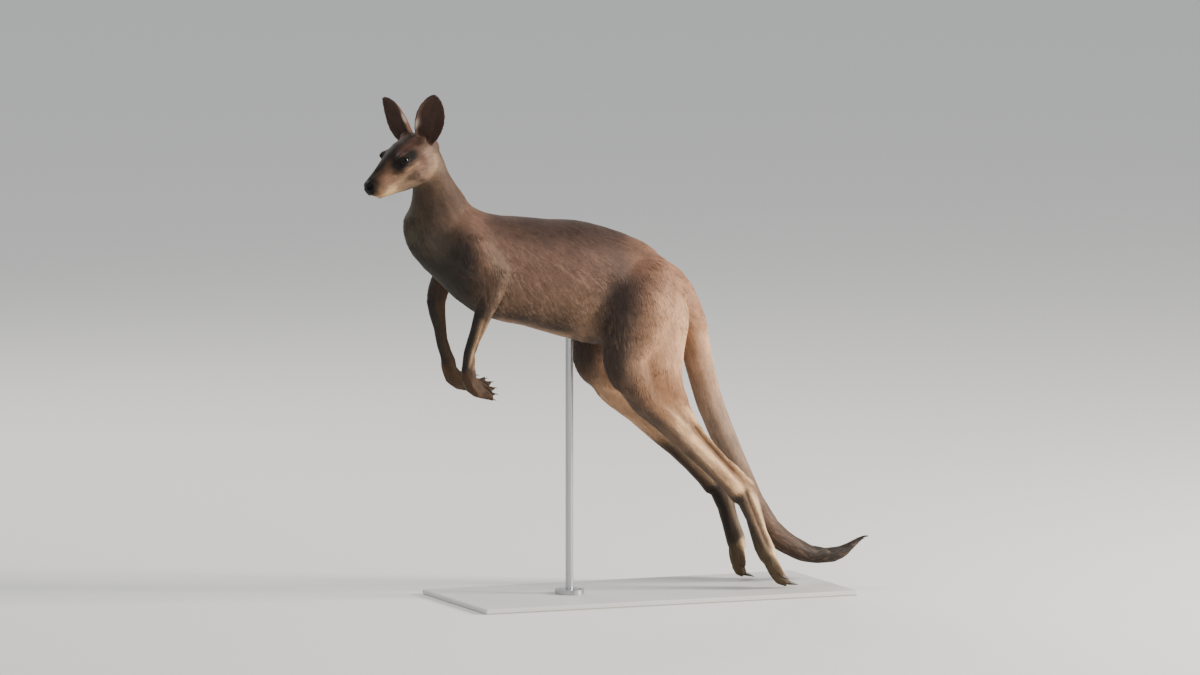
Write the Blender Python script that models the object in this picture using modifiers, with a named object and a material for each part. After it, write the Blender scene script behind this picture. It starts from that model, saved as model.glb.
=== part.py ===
"""A grey kangaroo at the end of its push-off, life size, held by a plain display stand.

Metres. The animal faces -X, +Z is up and its left side is at -Y. The origin is the middle of the
stand's underside. The body is built from lofted masses that are fused into one smooth form, which
thin cuts then part into the head, neck, trunk, tail and limbs.
"""

import math

import bmesh
import bpy
import numpy as np
from mathutils import Matrix, Vector

# Driving sizes.
STAND_LENGTH = 0.92
STAND_WIDTH = 0.40
STAND_HEIGHT = 0.012
STAND_EDGE = 0.003
ROD_PLACE = (-0.175, 0.0)
ROD_RADIUS = 0.009
FLANGE_RADIUS = 0.034
FLANGE_HEIGHT = 0.010
CUT = 0.0005  # width of the cuts between the parts of the body
FIT = 0.0003  # gap that a fitted piece keeps to its neighbour

HEAD_BACK = Vector((-0.518, 0.0, 1.0770))  # the head lies forward of this point
HEAD_PITCH = math.radians(28)  # nose down
HEAD_TURN = math.radians(12)  # towards the animal's left
EYE_RADIUS = 0.0140
EYE_PLACE = (0.1030, 0.0330, 0.0050)  # forward, sideways and up in the head
NOSE_PLACE = (0.2005, 0.0, -0.0130)
NOSE_REACH = (0.0145, 0.0225, 0.0190)
EAR_PLACE = (0.0300, 0.0290, 0.0120)
EAR_LENGTH = 0.126
EAR_WIDTH = 0.067
EAR_WALL = 0.0032

BODY_VOXEL = 0.006
FINE_VOXEL = 0.0025
BODY_TRIANGLES = 3200

SIDES = {"left": -1.0, "right": 1.0}

# The right limbs are this much further back than the left ones, by height.
LEG_LAG = (
    (0.020, 0.067, 0.105, 0.143, 0.184, 0.250, 0.300, 0.360, 0.420, 0.500),
    (-0.030, -0.006, 0.007, 0.009, 0.009, 0.012, 0.015, 0.014, 0.011, 0.0),
)
ARM_LAG = (
    (0.500, 0.556, 0.591, 0.633, 0.686, 0.735, 0.760, 0.800, 0.850),
    (0.020, 0.016, 0.001, -0.016, -0.039, -0.047, -0.047, -0.025, 0.0),
)


# ---------------------------------------------------------------- tools

def clear_scene():
    for old in list(bpy.data.objects):
        bpy.data.objects.remove(old, do_unlink=True)


def finish_of(name, colour, roughness, metallic=0.0):
    """A material of one colour."""
    made = bpy.data.materials.new(name)
    made.use_nodes = True
    shader = made.node_tree.nodes["Principled BSDF"]
    shader.inputs["Base Color"].default_value = (*colour, 1.0)
    shader.inputs["Roughness"].default_value = roughness
    shader.inputs["Metallic"].default_value = metallic
    return made


def new_object(name, shape, collection):
    """An object made from a bmesh, which is freed."""
    mesh = bpy.data.meshes.new(name)
    shape.to_mesh(mesh)
    shape.free()
    made = bpy.data.objects.new(name, mesh)
    collection.objects.link(made)
    return made


def smooth_rows(stations, spacing):
    """Rows on a smooth curve through the stations, about `spacing` apart."""
    rows = np.array(stations, float)
    padded = np.vstack([2 * rows[0] - rows[1], rows, 2 * rows[-1] - rows[-2]])
    made = []
    for before, start, stop, after in zip(padded, padded[1:], padded[2:], padded[3:]):
        steps = max(1, round(float(np.linalg.norm(stop[:3] - start[:3])) / spacing))
        for step in range(steps):
            t = step / steps
            bend = 2 * before - 5 * start + 4 * stop - after
            twist = 3 * start - before - 3 * stop + after
            made.append(0.5 * (2 * start + (stop - before) * t + bend * t**2 + twist * t**3))
    made.append(rows[-1])
    return np.array(made)


def loft(name, stations, collection, sides=20, spacing=0.012, across=(0, 1, 0)):
    """A closed body through oval rings. A station is x, y, z, half width and half depth."""
    rows = smooth_rows(stations, spacing)
    shape = bmesh.new()
    rings = []
    for index, row in enumerate(rows):
        ahead = rows[min(index + 1, len(rows) - 1)][:3]
        behind = rows[max(index - 1, 0)][:3]
        along = Vector(ahead - behind).normalized()
        wide = (Vector(across) - Vector(across).dot(along) * along).normalized()
        deep = wide.cross(along)
        ring = []
        for side in range(sides):
            angle = 2 * math.pi * side / sides
            offset = wide * math.cos(angle) * row[3] + deep * math.sin(angle) * row[4]
            ring.append(shape.verts.new(Vector(row[:3]) + offset))
        rings.append(ring)
    for first, second in zip(rings, rings[1:]):
        for side in range(sides):
            following = (side + 1) % sides
            corners = (first[side], first[following], second[following], second[side])
            shape.faces.new(corners)
    shape.faces.new(rings[0])
    shape.faces.new(rings[-1])
    bmesh.ops.recalc_face_normals(shape, faces=shape.faces)
    return new_object(name, shape, collection)


def ball(name, centre, radii, collection, turn=None, segments=24):
    """An ellipsoid. `turn` is a rotation matrix for its axes."""
    shape = bmesh.new()
    bmesh.ops.create_uvsphere(
        shape, u_segments=segments, v_segments=segments // 2, radius=1.0
    )
    made = new_object(name, shape, collection)
    turned = (turn or Matrix.Identity(3)).to_4x4()
    made.data.transform(Matrix.Translation(centre) @ turned @ Matrix.Diagonal((*radii, 1.0)))
    return made


def drum(name, centre, radius, height, collection, axis=(0, 0, 1), segments=16):
    """A cylinder about its centre."""
    shape = bmesh.new()
    bmesh.ops.create_cone(
        shape, cap_ends=True, segments=segments, radius1=radius, radius2=radius, depth=height
    )
    made = new_object(name, shape, collection)
    turned = Vector(axis).to_track_quat("Z", "Y").to_matrix().to_4x4()
    made.data.transform(Matrix.Translation(centre) @ turned)
    return made


def applied(thing):
    """Replaces an object's mesh by what its modifiers make of it."""
    graph = bpy.context.evaluated_depsgraph_get()
    mesh = bpy.data.meshes.new_from_object(thing.evaluated_get(graph))
    thing.modifiers.clear()
    thing.data = mesh
    return thing


def joined(name, things, collection):
    """One object from several, which are removed."""
    shape = bmesh.new()
    for thing in things:
        shape.from_mesh(thing.data)
        bpy.data.objects.remove(thing, do_unlink=True)
    return new_object(name, shape, collection)


def fused(name, things, collection, voxel, smoothing):
    """One closed smooth form from overlapping masses."""
    whole = joined(name, things, collection)
    remesh = whole.modifiers.new("fuse", "REMESH")
    remesh.mode = "VOXEL"
    remesh.voxel_size = voxel
    soften = whole.modifiers.new("soften", "SMOOTH")
    soften.factor = 0.5
    soften.iterations = smoothing
    return applied(whole)


def cut_by(thing, cutter, keep_cutter=False):
    """Cuts a helper object out of `thing`."""
    cut = thing.modifiers.new("cut", "BOOLEAN")
    cut.operation = "DIFFERENCE"
    cut.solver = "EXACT"
    cut.object = cutter
    applied(thing)
    if not keep_cutter:
        bpy.data.objects.remove(cutter, do_unlink=True)
    return thing


def thin_shell(centre, radii, helpers, turn=None, segments=13):
    """An egg-shaped shell as thick as a cut."""
    made = ball("shell", centre, radii, helpers, turn, segments)
    wall = made.modifiers.new("wall", "SOLIDIFY")
    wall.thickness = CUT
    wall.offset = 0.0
    return applied(made)


def islands_of(shape):
    """The separate closed pieces of a bmesh, the largest first."""
    unseen = set(shape.faces)
    islands = []
    while unseen:
        edge = {unseen.pop()}
        island = set(edge)
        while edge:
            near = {other for face in edge for side in face.edges for other in side.link_faces}
            edge = near & unseen
            unseen -= edge
            island |= edge
        islands.append(island)

    def volume(island):
        return abs(
            sum(f.calc_area() * f.normal.dot(f.calc_center_median()) for f in island) / 3
        )

    return sorted(islands, key=volume, reverse=True)


def copied(island, name, collection):
    """An object from some of a bmesh's faces."""
    piece = bmesh.new()
    corners = sorted({corner for face in island for corner in face.verts}, key=lambda v: v.index)
    copies = {corner: piece.verts.new(corner.co) for corner in corners}
    for face in sorted(island, key=lambda f: f.index):
        piece.faces.new([copies[corner] for corner in face.verts])
    return new_object(name, piece, collection)


def keep_largest(thing):
    """Drops the crumbs that a cut leaves beside a piece."""
    shape = bmesh.new()
    shape.from_mesh(thing.data)
    for island in islands_of(shape)[1:]:
        bmesh.ops.delete(shape, geom=list(island), context="FACES")
    shape.to_mesh(thing.data)
    shape.free()


def parted(whole, cutters, anchors, collection):
    """Cuts `whole`. Each piece takes the name of the anchor that is nearest to its middle."""
    for cutter in cutters:
        cut_by(whole, cutter)
    shape = bmesh.new()
    shape.from_mesh(whole.data)
    bpy.data.objects.remove(whole, do_unlink=True)
    pieces = {}
    for island in islands_of(shape)[: len(anchors)]:
        middles = [face.calc_center_median() * face.calc_area() for face in island]
        middle = sum(middles, Vector()) / sum(face.calc_area() for face in island)
        free = [key for key in anchors if key not in pieces]
        name = min(free, key=lambda key: (Vector(anchors[key]) - middle).length)
        pieces[name] = copied(island, name, collection)
    shape.free()
    return pieces


# ---------------------------------------------------------------- head frame

LEVEL = Vector((-math.cos(HEAD_TURN), -math.sin(HEAD_TURN), 0.0))
UP = Vector((0.0, 0.0, 1.0))
LEFT = UP.cross(LEVEL)
FORWARD = LEVEL * math.cos(HEAD_PITCH) - UP * math.sin(HEAD_PITCH)
HEAD = Matrix.Translation(HEAD_BACK) @ Matrix(
    (FORWARD, LEFT, FORWARD.cross(LEFT))
).transposed().to_4x4()


def in_head(place, side=-1.0):
    """A point given as forward, sideways and up in the head."""
    forward, sideways, upward = place
    return HEAD @ Vector((forward, -side * sideways, upward))


# ---------------------------------------------------------------- masses of the body

def placed(side, stations, lag):
    """Stations of a left limb, or those of the right limb with its lag."""
    made = []
    for x, y, z, *reach in stations:
        shift = float(np.interp(z, *lag)) if side > 0 else 0.0
        made.append((x + shift, side * y, z, *reach))
    return made


def trunk_masses(work):
    """Neck and trunk as one bent barrel, from the skull to the pelvis."""
    barrel = [
        (-0.532, -0.004, 1.040, 0.036, 0.038),
        (-0.518, -0.002, 0.990, 0.041, 0.044),
        (-0.506, 0.000, 0.951, 0.048, 0.056),
        (-0.498, 0.000, 0.916, 0.058, 0.0755),
        (-0.491, 0.000, 0.877, 0.071, 0.0935),
        (-0.449, 0.000, 0.829, 0.085, 0.096),
        (-0.360, 0.000, 0.779, 0.098, 0.120),
        (-0.260, 0.000, 0.757, 0.106, 0.127),
        (-0.174, 0.000, 0.740, 0.110, 0.136),
        (-0.074, 0.000, 0.711, 0.106, 0.133),
        (0.003, 0.000, 0.687, 0.093, 0.118),
        (0.058, 0.000, 0.680, 0.074, 0.088),
    ]
    return [loft("barrel", barrel, work, sides=28)]


def tail_masses(work):
    """A heavy tail that hangs behind the legs and turns up at its tip."""
    tail = [
        (0.016, 0.0, 0.736, 0.050, 0.058),
        (0.070, 0.0, 0.706, 0.050, 0.052),
        (0.115, 0.0, 0.643, 0.043, 0.042),
        (0.136, 0.0, 0.573, 0.038, 0.037),
        (0.152, 0.0, 0.510, 0.034, 0.034),
        (0.174, 0.0, 0.437, 0.032, 0.033),
        (0.216, 0.0, 0.338, 0.030, 0.031),
        (0.255, 0.0, 0.249, 0.030, 0.032),
        (0.275, 0.0, 0.207, 0.029, 0.0315),
        (0.295, 0.0, 0.176, 0.0285, 0.031),
        (0.318, 0.0, 0.143, 0.0275, 0.0295),
        (0.348, 0.0, 0.115, 0.026, 0.028),
        (0.381, 0.0, 0.0935, 0.0245, 0.026),
        (0.407, 0.0, 0.081, 0.023, 0.0245),
        (0.430, 0.0, 0.074, 0.021, 0.022),
        (0.459, 0.0, 0.070, 0.019, 0.020),
        (0.487, 0.0, 0.072, 0.0175, 0.0185),
        (0.509, 0.0, 0.080, 0.0145, 0.015),
        (0.534, 0.0, 0.096, 0.0105, 0.0105),
        (0.557, 0.0, 0.1085, 0.007, 0.007),
        (0.573, 0.0, 0.1165, 0.004, 0.004),
    ]
    return [loft("tail", tail, work)]


def leg_masses(side, work):
    """Thigh, hamstrings, shin, heel tendon and foot of one hind leg."""
    thigh = [
        (0.026, 0.040, 0.785, 0.014, 0.018),
        (0.014, 0.052, 0.766, 0.036, 0.046),
        (-0.006, 0.068, 0.728, 0.050, 0.076),
        (-0.030, 0.080, 0.680, 0.055, 0.090),
        (-0.052, 0.089, 0.628, 0.052, 0.080),
        (-0.076, 0.094, 0.574, 0.044, 0.058),
        (-0.080, 0.097, 0.530, 0.036, 0.043),
        (-0.064, 0.098, 0.500, 0.030, 0.032),
    ]
    hamstring = [
        (0.050, 0.032, 0.732, 0.018, 0.022),
        (0.046, 0.046, 0.703, 0.038, 0.042),
        (0.033, 0.064, 0.650, 0.050, 0.061),
        (0.014, 0.083, 0.575, 0.043, 0.062),
        (0.014, 0.089, 0.505, 0.040, 0.056),
        (0.042, 0.094, 0.442, 0.032, 0.044),
        (0.079, 0.096, 0.388, 0.022, 0.030),
    ]
    shin = [
        (-0.068, 0.098, 0.535, 0.036, 0.046),
        (-0.030, 0.098, 0.470, 0.034, 0.040),
        (0.024, 0.098, 0.413, 0.030, 0.031),
        (0.070, 0.098, 0.362, 0.024, 0.024),
        (0.128, 0.097, 0.310, 0.021, 0.021),
        (0.184, 0.096, 0.258, 0.022, 0.022),
        (0.212, 0.095, 0.228, 0.024, 0.024),
    ]
    tendon = [
        (0.060, 0.096, 0.440, 0.018, 0.022),
        (0.104, 0.096, 0.388, 0.011, 0.013),
        (0.153, 0.096, 0.336, 0.008, 0.010),
        (0.207, 0.095, 0.284, 0.008, 0.010),
        (0.238, 0.095, 0.254, 0.011, 0.013),
    ]
    web = [
        (0.080, 0.097, 0.382, 0.010, 0.030),
        (0.140, 0.096, 0.325, 0.007, 0.026),
        (0.196, 0.095, 0.268, 0.010, 0.026),
    ]
    foot = [
        (0.222, 0.095, 0.252, 0.020, 0.022),
        (0.231, 0.095, 0.218, 0.021, 0.027),
        (0.244, 0.095, 0.184, 0.020, 0.023),
        (0.256, 0.095, 0.143, 0.021, 0.022),
        (0.272, 0.095, 0.103, 0.024, 0.024),
        (0.286, 0.095, 0.078, 0.021, 0.020),
    ]
    masses = (thigh, hamstring, shin, tendon, web, foot)
    return [loft("leg", placed(side, stations, LEG_LAG), work) for stations in masses]


TOES = {
    "long": (
        (0.276, 0.095, 0.098, 0.014, 0.018),
        (0.294, 0.096, 0.060, 0.0145, 0.018),
        (0.310, 0.097, 0.035, 0.013, 0.0155),
        (0.327, 0.097, 0.0245, 0.010, 0.0105),
    ),
    "outer": (
        (0.271, 0.110, 0.108, 0.010, 0.011),
        (0.286, 0.118, 0.069, 0.0095, 0.012),
        (0.303, 0.121, 0.044, 0.008, 0.009),
    ),
    "inner": (
        (0.273, 0.078, 0.106, 0.006, 0.008),
        (0.289, 0.074, 0.069, 0.0075, 0.009),
        (0.305, 0.073, 0.044, 0.0065, 0.007),
    ),
}


def toe_masses(side, work):
    """The long fourth toe, the shorter outer toe and the joined grooming toes inside."""
    return [
        loft("toe", placed(side, stations, LEG_LAG), work, sides=12, spacing=0.006)
        for stations in TOES.values()
    ]


def arm_masses(side, work):
    """Shoulder, upper arm and forearm."""
    shoulder = [
        (-0.476, 0.034, 0.884, 0.024, 0.030),
        (-0.470, 0.052, 0.860, 0.032, 0.044),
        (-0.456, 0.072, 0.832, 0.036, 0.050),
        (-0.424, 0.092, 0.796, 0.032, 0.038),
        (-0.396, 0.104, 0.768, 0.027, 0.028),
        (-0.384, 0.107, 0.752, 0.020, 0.020),
    ]
    forearm = [
        (-0.388, 0.106, 0.770, 0.024, 0.022),
        (-0.402, 0.106, 0.735, 0.025, 0.027),
        (-0.424, 0.101, 0.686, 0.022, 0.024),
        (-0.442, 0.093, 0.633, 0.016, 0.0175),
        (-0.454, 0.086, 0.591, 0.014, 0.0165),
        (-0.457, 0.083, 0.556, 0.0155, 0.0175),
        (-0.455, 0.082, 0.540, 0.015, 0.016),
    ]
    masses = (shoulder, forearm)
    return [loft("arm", placed(side, stations, ARM_LAG), work) for stations in masses]


PALM = (
    (-0.457, 0.083, 0.557, 0.0155, 0.0175),
    (-0.456, 0.082, 0.536, 0.019, 0.018),
    (-0.448, 0.081, 0.516, 0.023, 0.018),
    (-0.434, 0.080, 0.506, 0.023, 0.016),
    (-0.424, 0.080, 0.504, 0.018, 0.012),
)
KNUCKLES = (-0.430, 0.080, 0.504)
FINGER_LENGTHS = (0.027, 0.037, 0.041, 0.038, 0.030)


def finger_line(side, number):
    """Root and direction of a finger, counted from the thumb, in a fan across the hand."""
    spread = Vector((0.10, 0.56, -0.82)).normalized()
    shift = float(np.interp(0.5, *ARM_LAG)) if side > 0 else 0.0
    root = Vector(KNUCKLES) + spread * 0.0098 * (number - 2)
    way = (Vector((0.98, 0.0, 0.02)) + spread * 0.16 * (number - 2)).normalized()
    return Vector((root.x + shift, side * root.y, root.z)), Vector((way.x, side * way.y, way.z))


def hand_masses(side, work):
    """Palm and five fingers, drawn in towards the belly."""
    fan = (0.1, 0.56 * side, -0.82)
    palm = placed(side, PALM, ARM_LAG)
    made = [loft("palm", palm, work, sides=16, spacing=0.006, across=fan)]
    for number, length in enumerate(FINGER_LENGTHS):
        root, way = finger_line(side, number)
        stations = [
            (*(root - way * 0.012), 0.0058, 0.0058),
            (*(root + way * length * 0.5), 0.0056, 0.0054),
            (*(root + way * length), 0.0044, 0.0044),
        ]
        made.append(loft("finger", stations, work, sides=10, spacing=0.005, across=fan))
    return made


def head_masses(work):
    """Skull, jaw, cheeks, brows and lips, in the head's own frame."""
    # Forward along the head, top line, bottom line and half width.
    skull = (
        (0.000, 0.012, -0.034, 0.032),
        (0.015, 0.024, -0.046, 0.040),
        (0.038, 0.033, -0.052, 0.046),
        (0.062, 0.0365, -0.052, 0.0485),
        (0.087, 0.035, -0.050, 0.047),
        (0.105, 0.030, -0.047, 0.042),
        (0.124, 0.024, -0.046, 0.034),
        (0.139, 0.0185, -0.045, 0.0295),
        (0.160, 0.0115, -0.044, 0.0260),
        (0.174, 0.0070, -0.043, 0.0250),
        (0.188, 0.0045, -0.040, 0.0230),
        (0.197, 0.0010, -0.034, 0.0190),
        (0.2035, -0.0060, -0.025, 0.0120),
    )
    jaw = (
        (0.028, -0.020, -0.066, 0.034),
        (0.048, -0.024, -0.079, 0.037),
        (0.070, -0.028, -0.082, 0.036),
        (0.095, -0.030, -0.078, 0.031),
        (0.120, -0.032, -0.070, 0.025),
        (0.145, -0.033, -0.0625, 0.0205),
        (0.165, -0.034, -0.0575, 0.0185),
        (0.180, -0.035, -0.054, 0.0160),
        (0.188, -0.037, -0.049, 0.0110),
    )
    made = []
    for profile in (skull, jaw):
        stations = [
            (forward, 0.0, (top + bottom) / 2, wide, (top - bottom) / 2)
            for forward, top, bottom, wide in profile
        ]
        made.append(loft("head", stations, work, sides=28, spacing=0.006))
    lumps = {
        "cheek": ((0.062, 0.032, -0.038), (0.036, 0.017, 0.032)),
        "cheekbone": ((0.096, 0.0375, -0.014), (0.038, 0.0085, 0.009)),
        "brow": ((0.107, 0.0345, 0.020), (0.019, 0.0090, 0.0075)),
        "lip": ((0.176, 0.0130, -0.029), (0.026, 0.0130, 0.0140)),
        "ear_root": ((0.040, 0.0300, 0.018), (0.020, 0.0160, 0.0180)),
    }
    for centre, radii in lumps.values():
        for side in SIDES.values():
            place = (centre[0], -side * centre[1], centre[2])
            made.append(ball("lump", place, radii, work, segments=20))
    for mass in made:
        mass.data.transform(HEAD)
    return made


def fuse_body(work):
    """The whole animal but its ears, eyes and claws, as one closed form."""
    coarse = trunk_masses(work) + tail_masses(work)
    for side in SIDES.values():
        coarse += leg_masses(side, work) + arm_masses(side, work)
    body = fused("body", coarse, work, BODY_VOXEL, smoothing=9)
    fine = [body, *head_masses(work)]
    for side in SIDES.values():
        fine += toe_masses(side, work) + hand_masses(side, work)
    body = fused("body", fine, work, FINE_VOXEL, smoothing=5)
    thin = body.modifiers.new("thin", "DECIMATE")
    thin.ratio = BODY_TRIANGLES / (2 * len(body.data.polygons))
    return applied(body)


# ---------------------------------------------------------------- cuts

# Where a slice passes, which way it faces, and its radius.
MIDDLE_SLICES = (
    ((-0.517, 0.0, 1.006), (0.62, 0.0, -0.78), 0.076),
    ((-0.487, 0.0, 0.905), (0.45, 0.0, -0.89), 0.130),
    ((-0.340, 0.0, 0.772), (1.0, 0.0, -0.32), 0.200),
    ((-0.158, 0.0, 0.735), (1.0, 0.0, -0.28), 0.200),
    ((0.127, 0.0, 0.612), (0.25, 0.0, -0.97), 0.054),
    ((0.1875, 0.0, 0.405), (0.42, 0.0, -0.90), 0.046),
    ((0.300, 0.0, 0.160), (0.55, 0.0, -0.84), 0.040),
    ((0.430, 0.0, 0.0725), (1.0, 0.0, -0.1), 0.034),
)
LIMB_SLICES = (
    ((0.212, 0.095, 0.250), (0.5, 0.0, -0.87), 0.052, LEG_LAG),
    ((0.276, 0.096, 0.107), (0.5, 0.0, -0.87), 0.042, LEG_LAG),
    ((-0.457, 0.083, 0.549), (0.0, 0.0, 1.0), 0.032, ARM_LAG),
)
# Where the rounded cuts lie that set off a thigh and an upper arm, and how far they reach.
THIGH_CUT = ((-0.016, 0.138, 0.620), (0.168, 0.126, 0.175))
ARM_CUT = ((-0.466, 0.078, 0.852), (-0.394, 0.114, 0.694), (0.064, 0.056, 0.112))


def parting_cutters(helpers):
    """All the thin slices and shells that part the body."""
    made = []
    for centre, normal, radius in MIDDLE_SLICES:
        made.append(drum("slice", centre, radius, CUT, helpers, normal))
    made.append(thin_shell(in_head(NOSE_PLACE), NOSE_REACH, helpers, HEAD.to_3x3(), 10))
    for side in SIDES.values():
        for centre, normal, radius, lag in LIMB_SLICES:
            place = placed(side, [centre], lag)[0]
            made.append(drum("slice", place, radius, CUT, helpers, normal))
        x, y, z = THIGH_CUT[0]
        made.append(thin_shell((x, side * y, z), THIGH_CUT[1], helpers))
        top, bottom = (Vector(place) for place in placed(side, ARM_CUT[:2], ARM_LAG))
        along = (top - bottom).normalized()
        ahead = along.cross(Vector((0, 1, 0))).normalized()
        turn = Matrix((ahead, along.cross(ahead), along)).transposed()
        made.append(thin_shell((top + bottom) / 2, ARM_CUT[2], helpers, turn, 12))
    return made


def anchors():
    """A point near the middle of each part of the body."""
    made = {
        "head": in_head((0.09, 0, -0.02)),
        "nose": in_head(NOSE_PLACE),
        "neck": (-0.51, 0.0, 0.94),
        "chest": (-0.44, 0.0, 0.81),
        "belly": (-0.25, 0.0, 0.755),
        "rump": (-0.01, 0.0, 0.71),
        "tail_root": (0.155, 0.0, 0.51),
        "tail_middle": (0.245, 0.0, 0.28),
        "tail_lower": (0.36, 0.0, 0.105),
        "tail_tip": (0.50, 0.0, 0.08),
    }
    limbs = {
        "thigh": (-0.03, 0.10, 0.63, LEG_LAG),
        "shank": (0.07, 0.096, 0.39, LEG_LAG),
        "foot": (0.25, 0.095, 0.17, LEG_LAG),
        "toes": (0.305, 0.096, 0.065, LEG_LAG),
        "upper_arm": (-0.42, 0.095, 0.80, ARM_LAG),
        "forearm": (-0.44, 0.09, 0.63, ARM_LAG),
        "hand": (-0.43, 0.08, 0.51, ARM_LAG),
    }
    for word, side in SIDES.items():
        for name, (x, y, z, lag) in limbs.items():
            made[f"{name}_{word}"] = Vector(placed(side, [(x, y, z)], lag)[0])
    return made


# ---------------------------------------------------------------- ears, eyes and claws

def ear(name, side, axis, opening, collection):
    """A tall cupped leaf with an even wall, rolled at its root and opening towards `opening`."""
    axis = axis.normalized()
    front = (opening - axis * opening.dot(axis)).normalized()
    across = axis.cross(front)
    root = in_head(EAR_PLACE, side) - axis * 0.010
    heights = (0.0, 0.10, 0.22, 0.36, 0.50, 0.64, 0.78, 0.90, 0.97, 1.0)
    widths = (0.36, 0.50, 0.74, 0.92, 1.0, 0.97, 0.80, 0.52, 0.26, 0.08)
    rolls = (1.9, 1.75, 1.55, 1.35, 1.2, 1.05, 0.92, 0.82, 0.75, 0.7)
    columns = 9
    grid = np.zeros((len(heights), columns, 3))
    for row, (height, width, roll) in enumerate(zip(heights, widths, rolls)):
        half = width * EAR_WIDTH / 2
        radius = half / math.sin(min(roll, math.pi / 2))
        for column in range(columns):
            angle = roll * (2 * column / (columns - 1) - 1)
            rise = radius * (1 - math.cos(angle)) - radius * 0.45
            place = root + axis * EAR_LENGTH * height + front * (rise - 0.010 * height**2)
            grid[row, column] = place + across * radius * math.sin(angle)
    slope_up = np.gradient(grid, axis=0)
    slope_across = np.gradient(grid, axis=1)
    facing = np.cross(slope_across, slope_up)
    facing /= np.linalg.norm(facing, axis=2, keepdims=True)
    if float(facing[5, columns // 2] @ np.array(front)) < 0:
        facing = -facing
    shape = bmesh.new()
    inner = [[shape.verts.new(p) for p in line] for line in grid + facing * EAR_WALL / 2]
    outer = [[shape.verts.new(p) for p in line] for line in grid - facing * EAR_WALL / 2]
    last_row, last_column = len(heights) - 1, columns - 1
    for row in range(last_row):
        for column in range(last_column):
            for sheet in (inner, outer):
                shape.faces.new(
                    (
                        sheet[row][column],
                        sheet[row][column + 1],
                        sheet[row + 1][column + 1],
                        sheet[row + 1][column],
                    )
                )
    rim = [(0, column) for column in range(columns)]
    rim += [(row, last_column) for row in range(1, last_row + 1)]
    rim += [(last_row, column) for column in range(last_column - 1, -1, -1)]
    rim += [(row, 0) for row in range(last_row - 1, 0, -1)]
    for (a, b), (c, d) in zip(rim, rim[1:] + rim[:1]):
        shape.faces.new((inner[a][b], inner[c][d], outer[c][d], outer[a][b]))
    bmesh.ops.recalc_face_normals(shape, faces=shape.faces)
    return new_object(name, shape, collection)


def claw(name, root, way, droop, length, wide, deep, collection):
    """A curved horn cone. `droop` is how far its tip bends down."""
    stations = []
    for t in (0.0, 0.35, 0.7, 1.0):
        place = root + way * length * t - UP * droop * t**2
        size = max(0.06, 1 - t**1.6)
        stations.append((*place, wide * size, deep * size))
    return loft(name, stations, collection, sides=6, spacing=length)


def claws(side, word, collection):
    """The claws of one side's hand and foot, each started inside its finger or toe."""
    made = []
    for number, length in enumerate(FINGER_LENGTHS):
        root, way = finger_line(side, number)
        start = root + way * (length - 0.004)
        name = f"finger_claw_{number + 1}_{word}"
        made.append(claw(name, start, way, 0.0045, 0.019, 0.0023, 0.0030, collection))
    sizes = {
        "long": (0.032, 0.0056, 0.0062, 0.002),
        "outer": (0.024, 0.0040, 0.0044, 0.004),
        "inner": (0.014, 0.0024, 0.0028, 0.003),
    }
    for toe, (length, wide, deep, droop) in sizes.items():
        *_, before, last = (Vector(row[:3]) for row in placed(side, TOES[toe], LEG_LAG))
        way = (last - before).normalized()
        way = (way + Vector((0.55, 0.0, 0.30))).normalized()
        start = last - way * 0.004
        name = f"toe_claw_{toe}_{word}"
        made.append(claw(name, start, way, droop, length, wide, deep, collection))
    return made


# ---------------------------------------------------------------- stand

def stand_pieces(collection, swollen):
    """A board on the floor, a flange on it and a rod whose end is shaped to the belly."""
    shape = bmesh.new()
    bmesh.ops.create_cube(shape, size=1.0)
    base = new_object("stand_base", shape, collection)
    size = Matrix.Diagonal((STAND_LENGTH, STAND_WIDTH, STAND_HEIGHT, 1.0))
    base.data.transform(Matrix.Translation((0, 0, STAND_HEIGHT / 2)) @ size)
    edge = base.modifiers.new("edge", "BEVEL")
    edge.width = STAND_EDGE
    edge.segments = 1
    applied(base)
    x, y = ROD_PLACE
    foot = STAND_HEIGHT + FIT
    place = (x, y, foot + FLANGE_HEIGHT / 2)
    flange = drum("stand_flange", place, FLANGE_RADIUS, FLANGE_HEIGHT, collection, segments=24)
    hole = drum("hole", place, ROD_RADIUS + FIT, FLANGE_HEIGHT * 3, collection, segments=24)
    cut_by(flange, hole)
    top = 0.68
    rod = drum(
        "stand_rod", (x, y, (foot + top) / 2), ROD_RADIUS, top - foot, collection, segments=24
    )
    cut_by(rod, swollen, keep_cutter=True)
    return base, flange, rod


# ---------------------------------------------------------------- the whole

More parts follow.
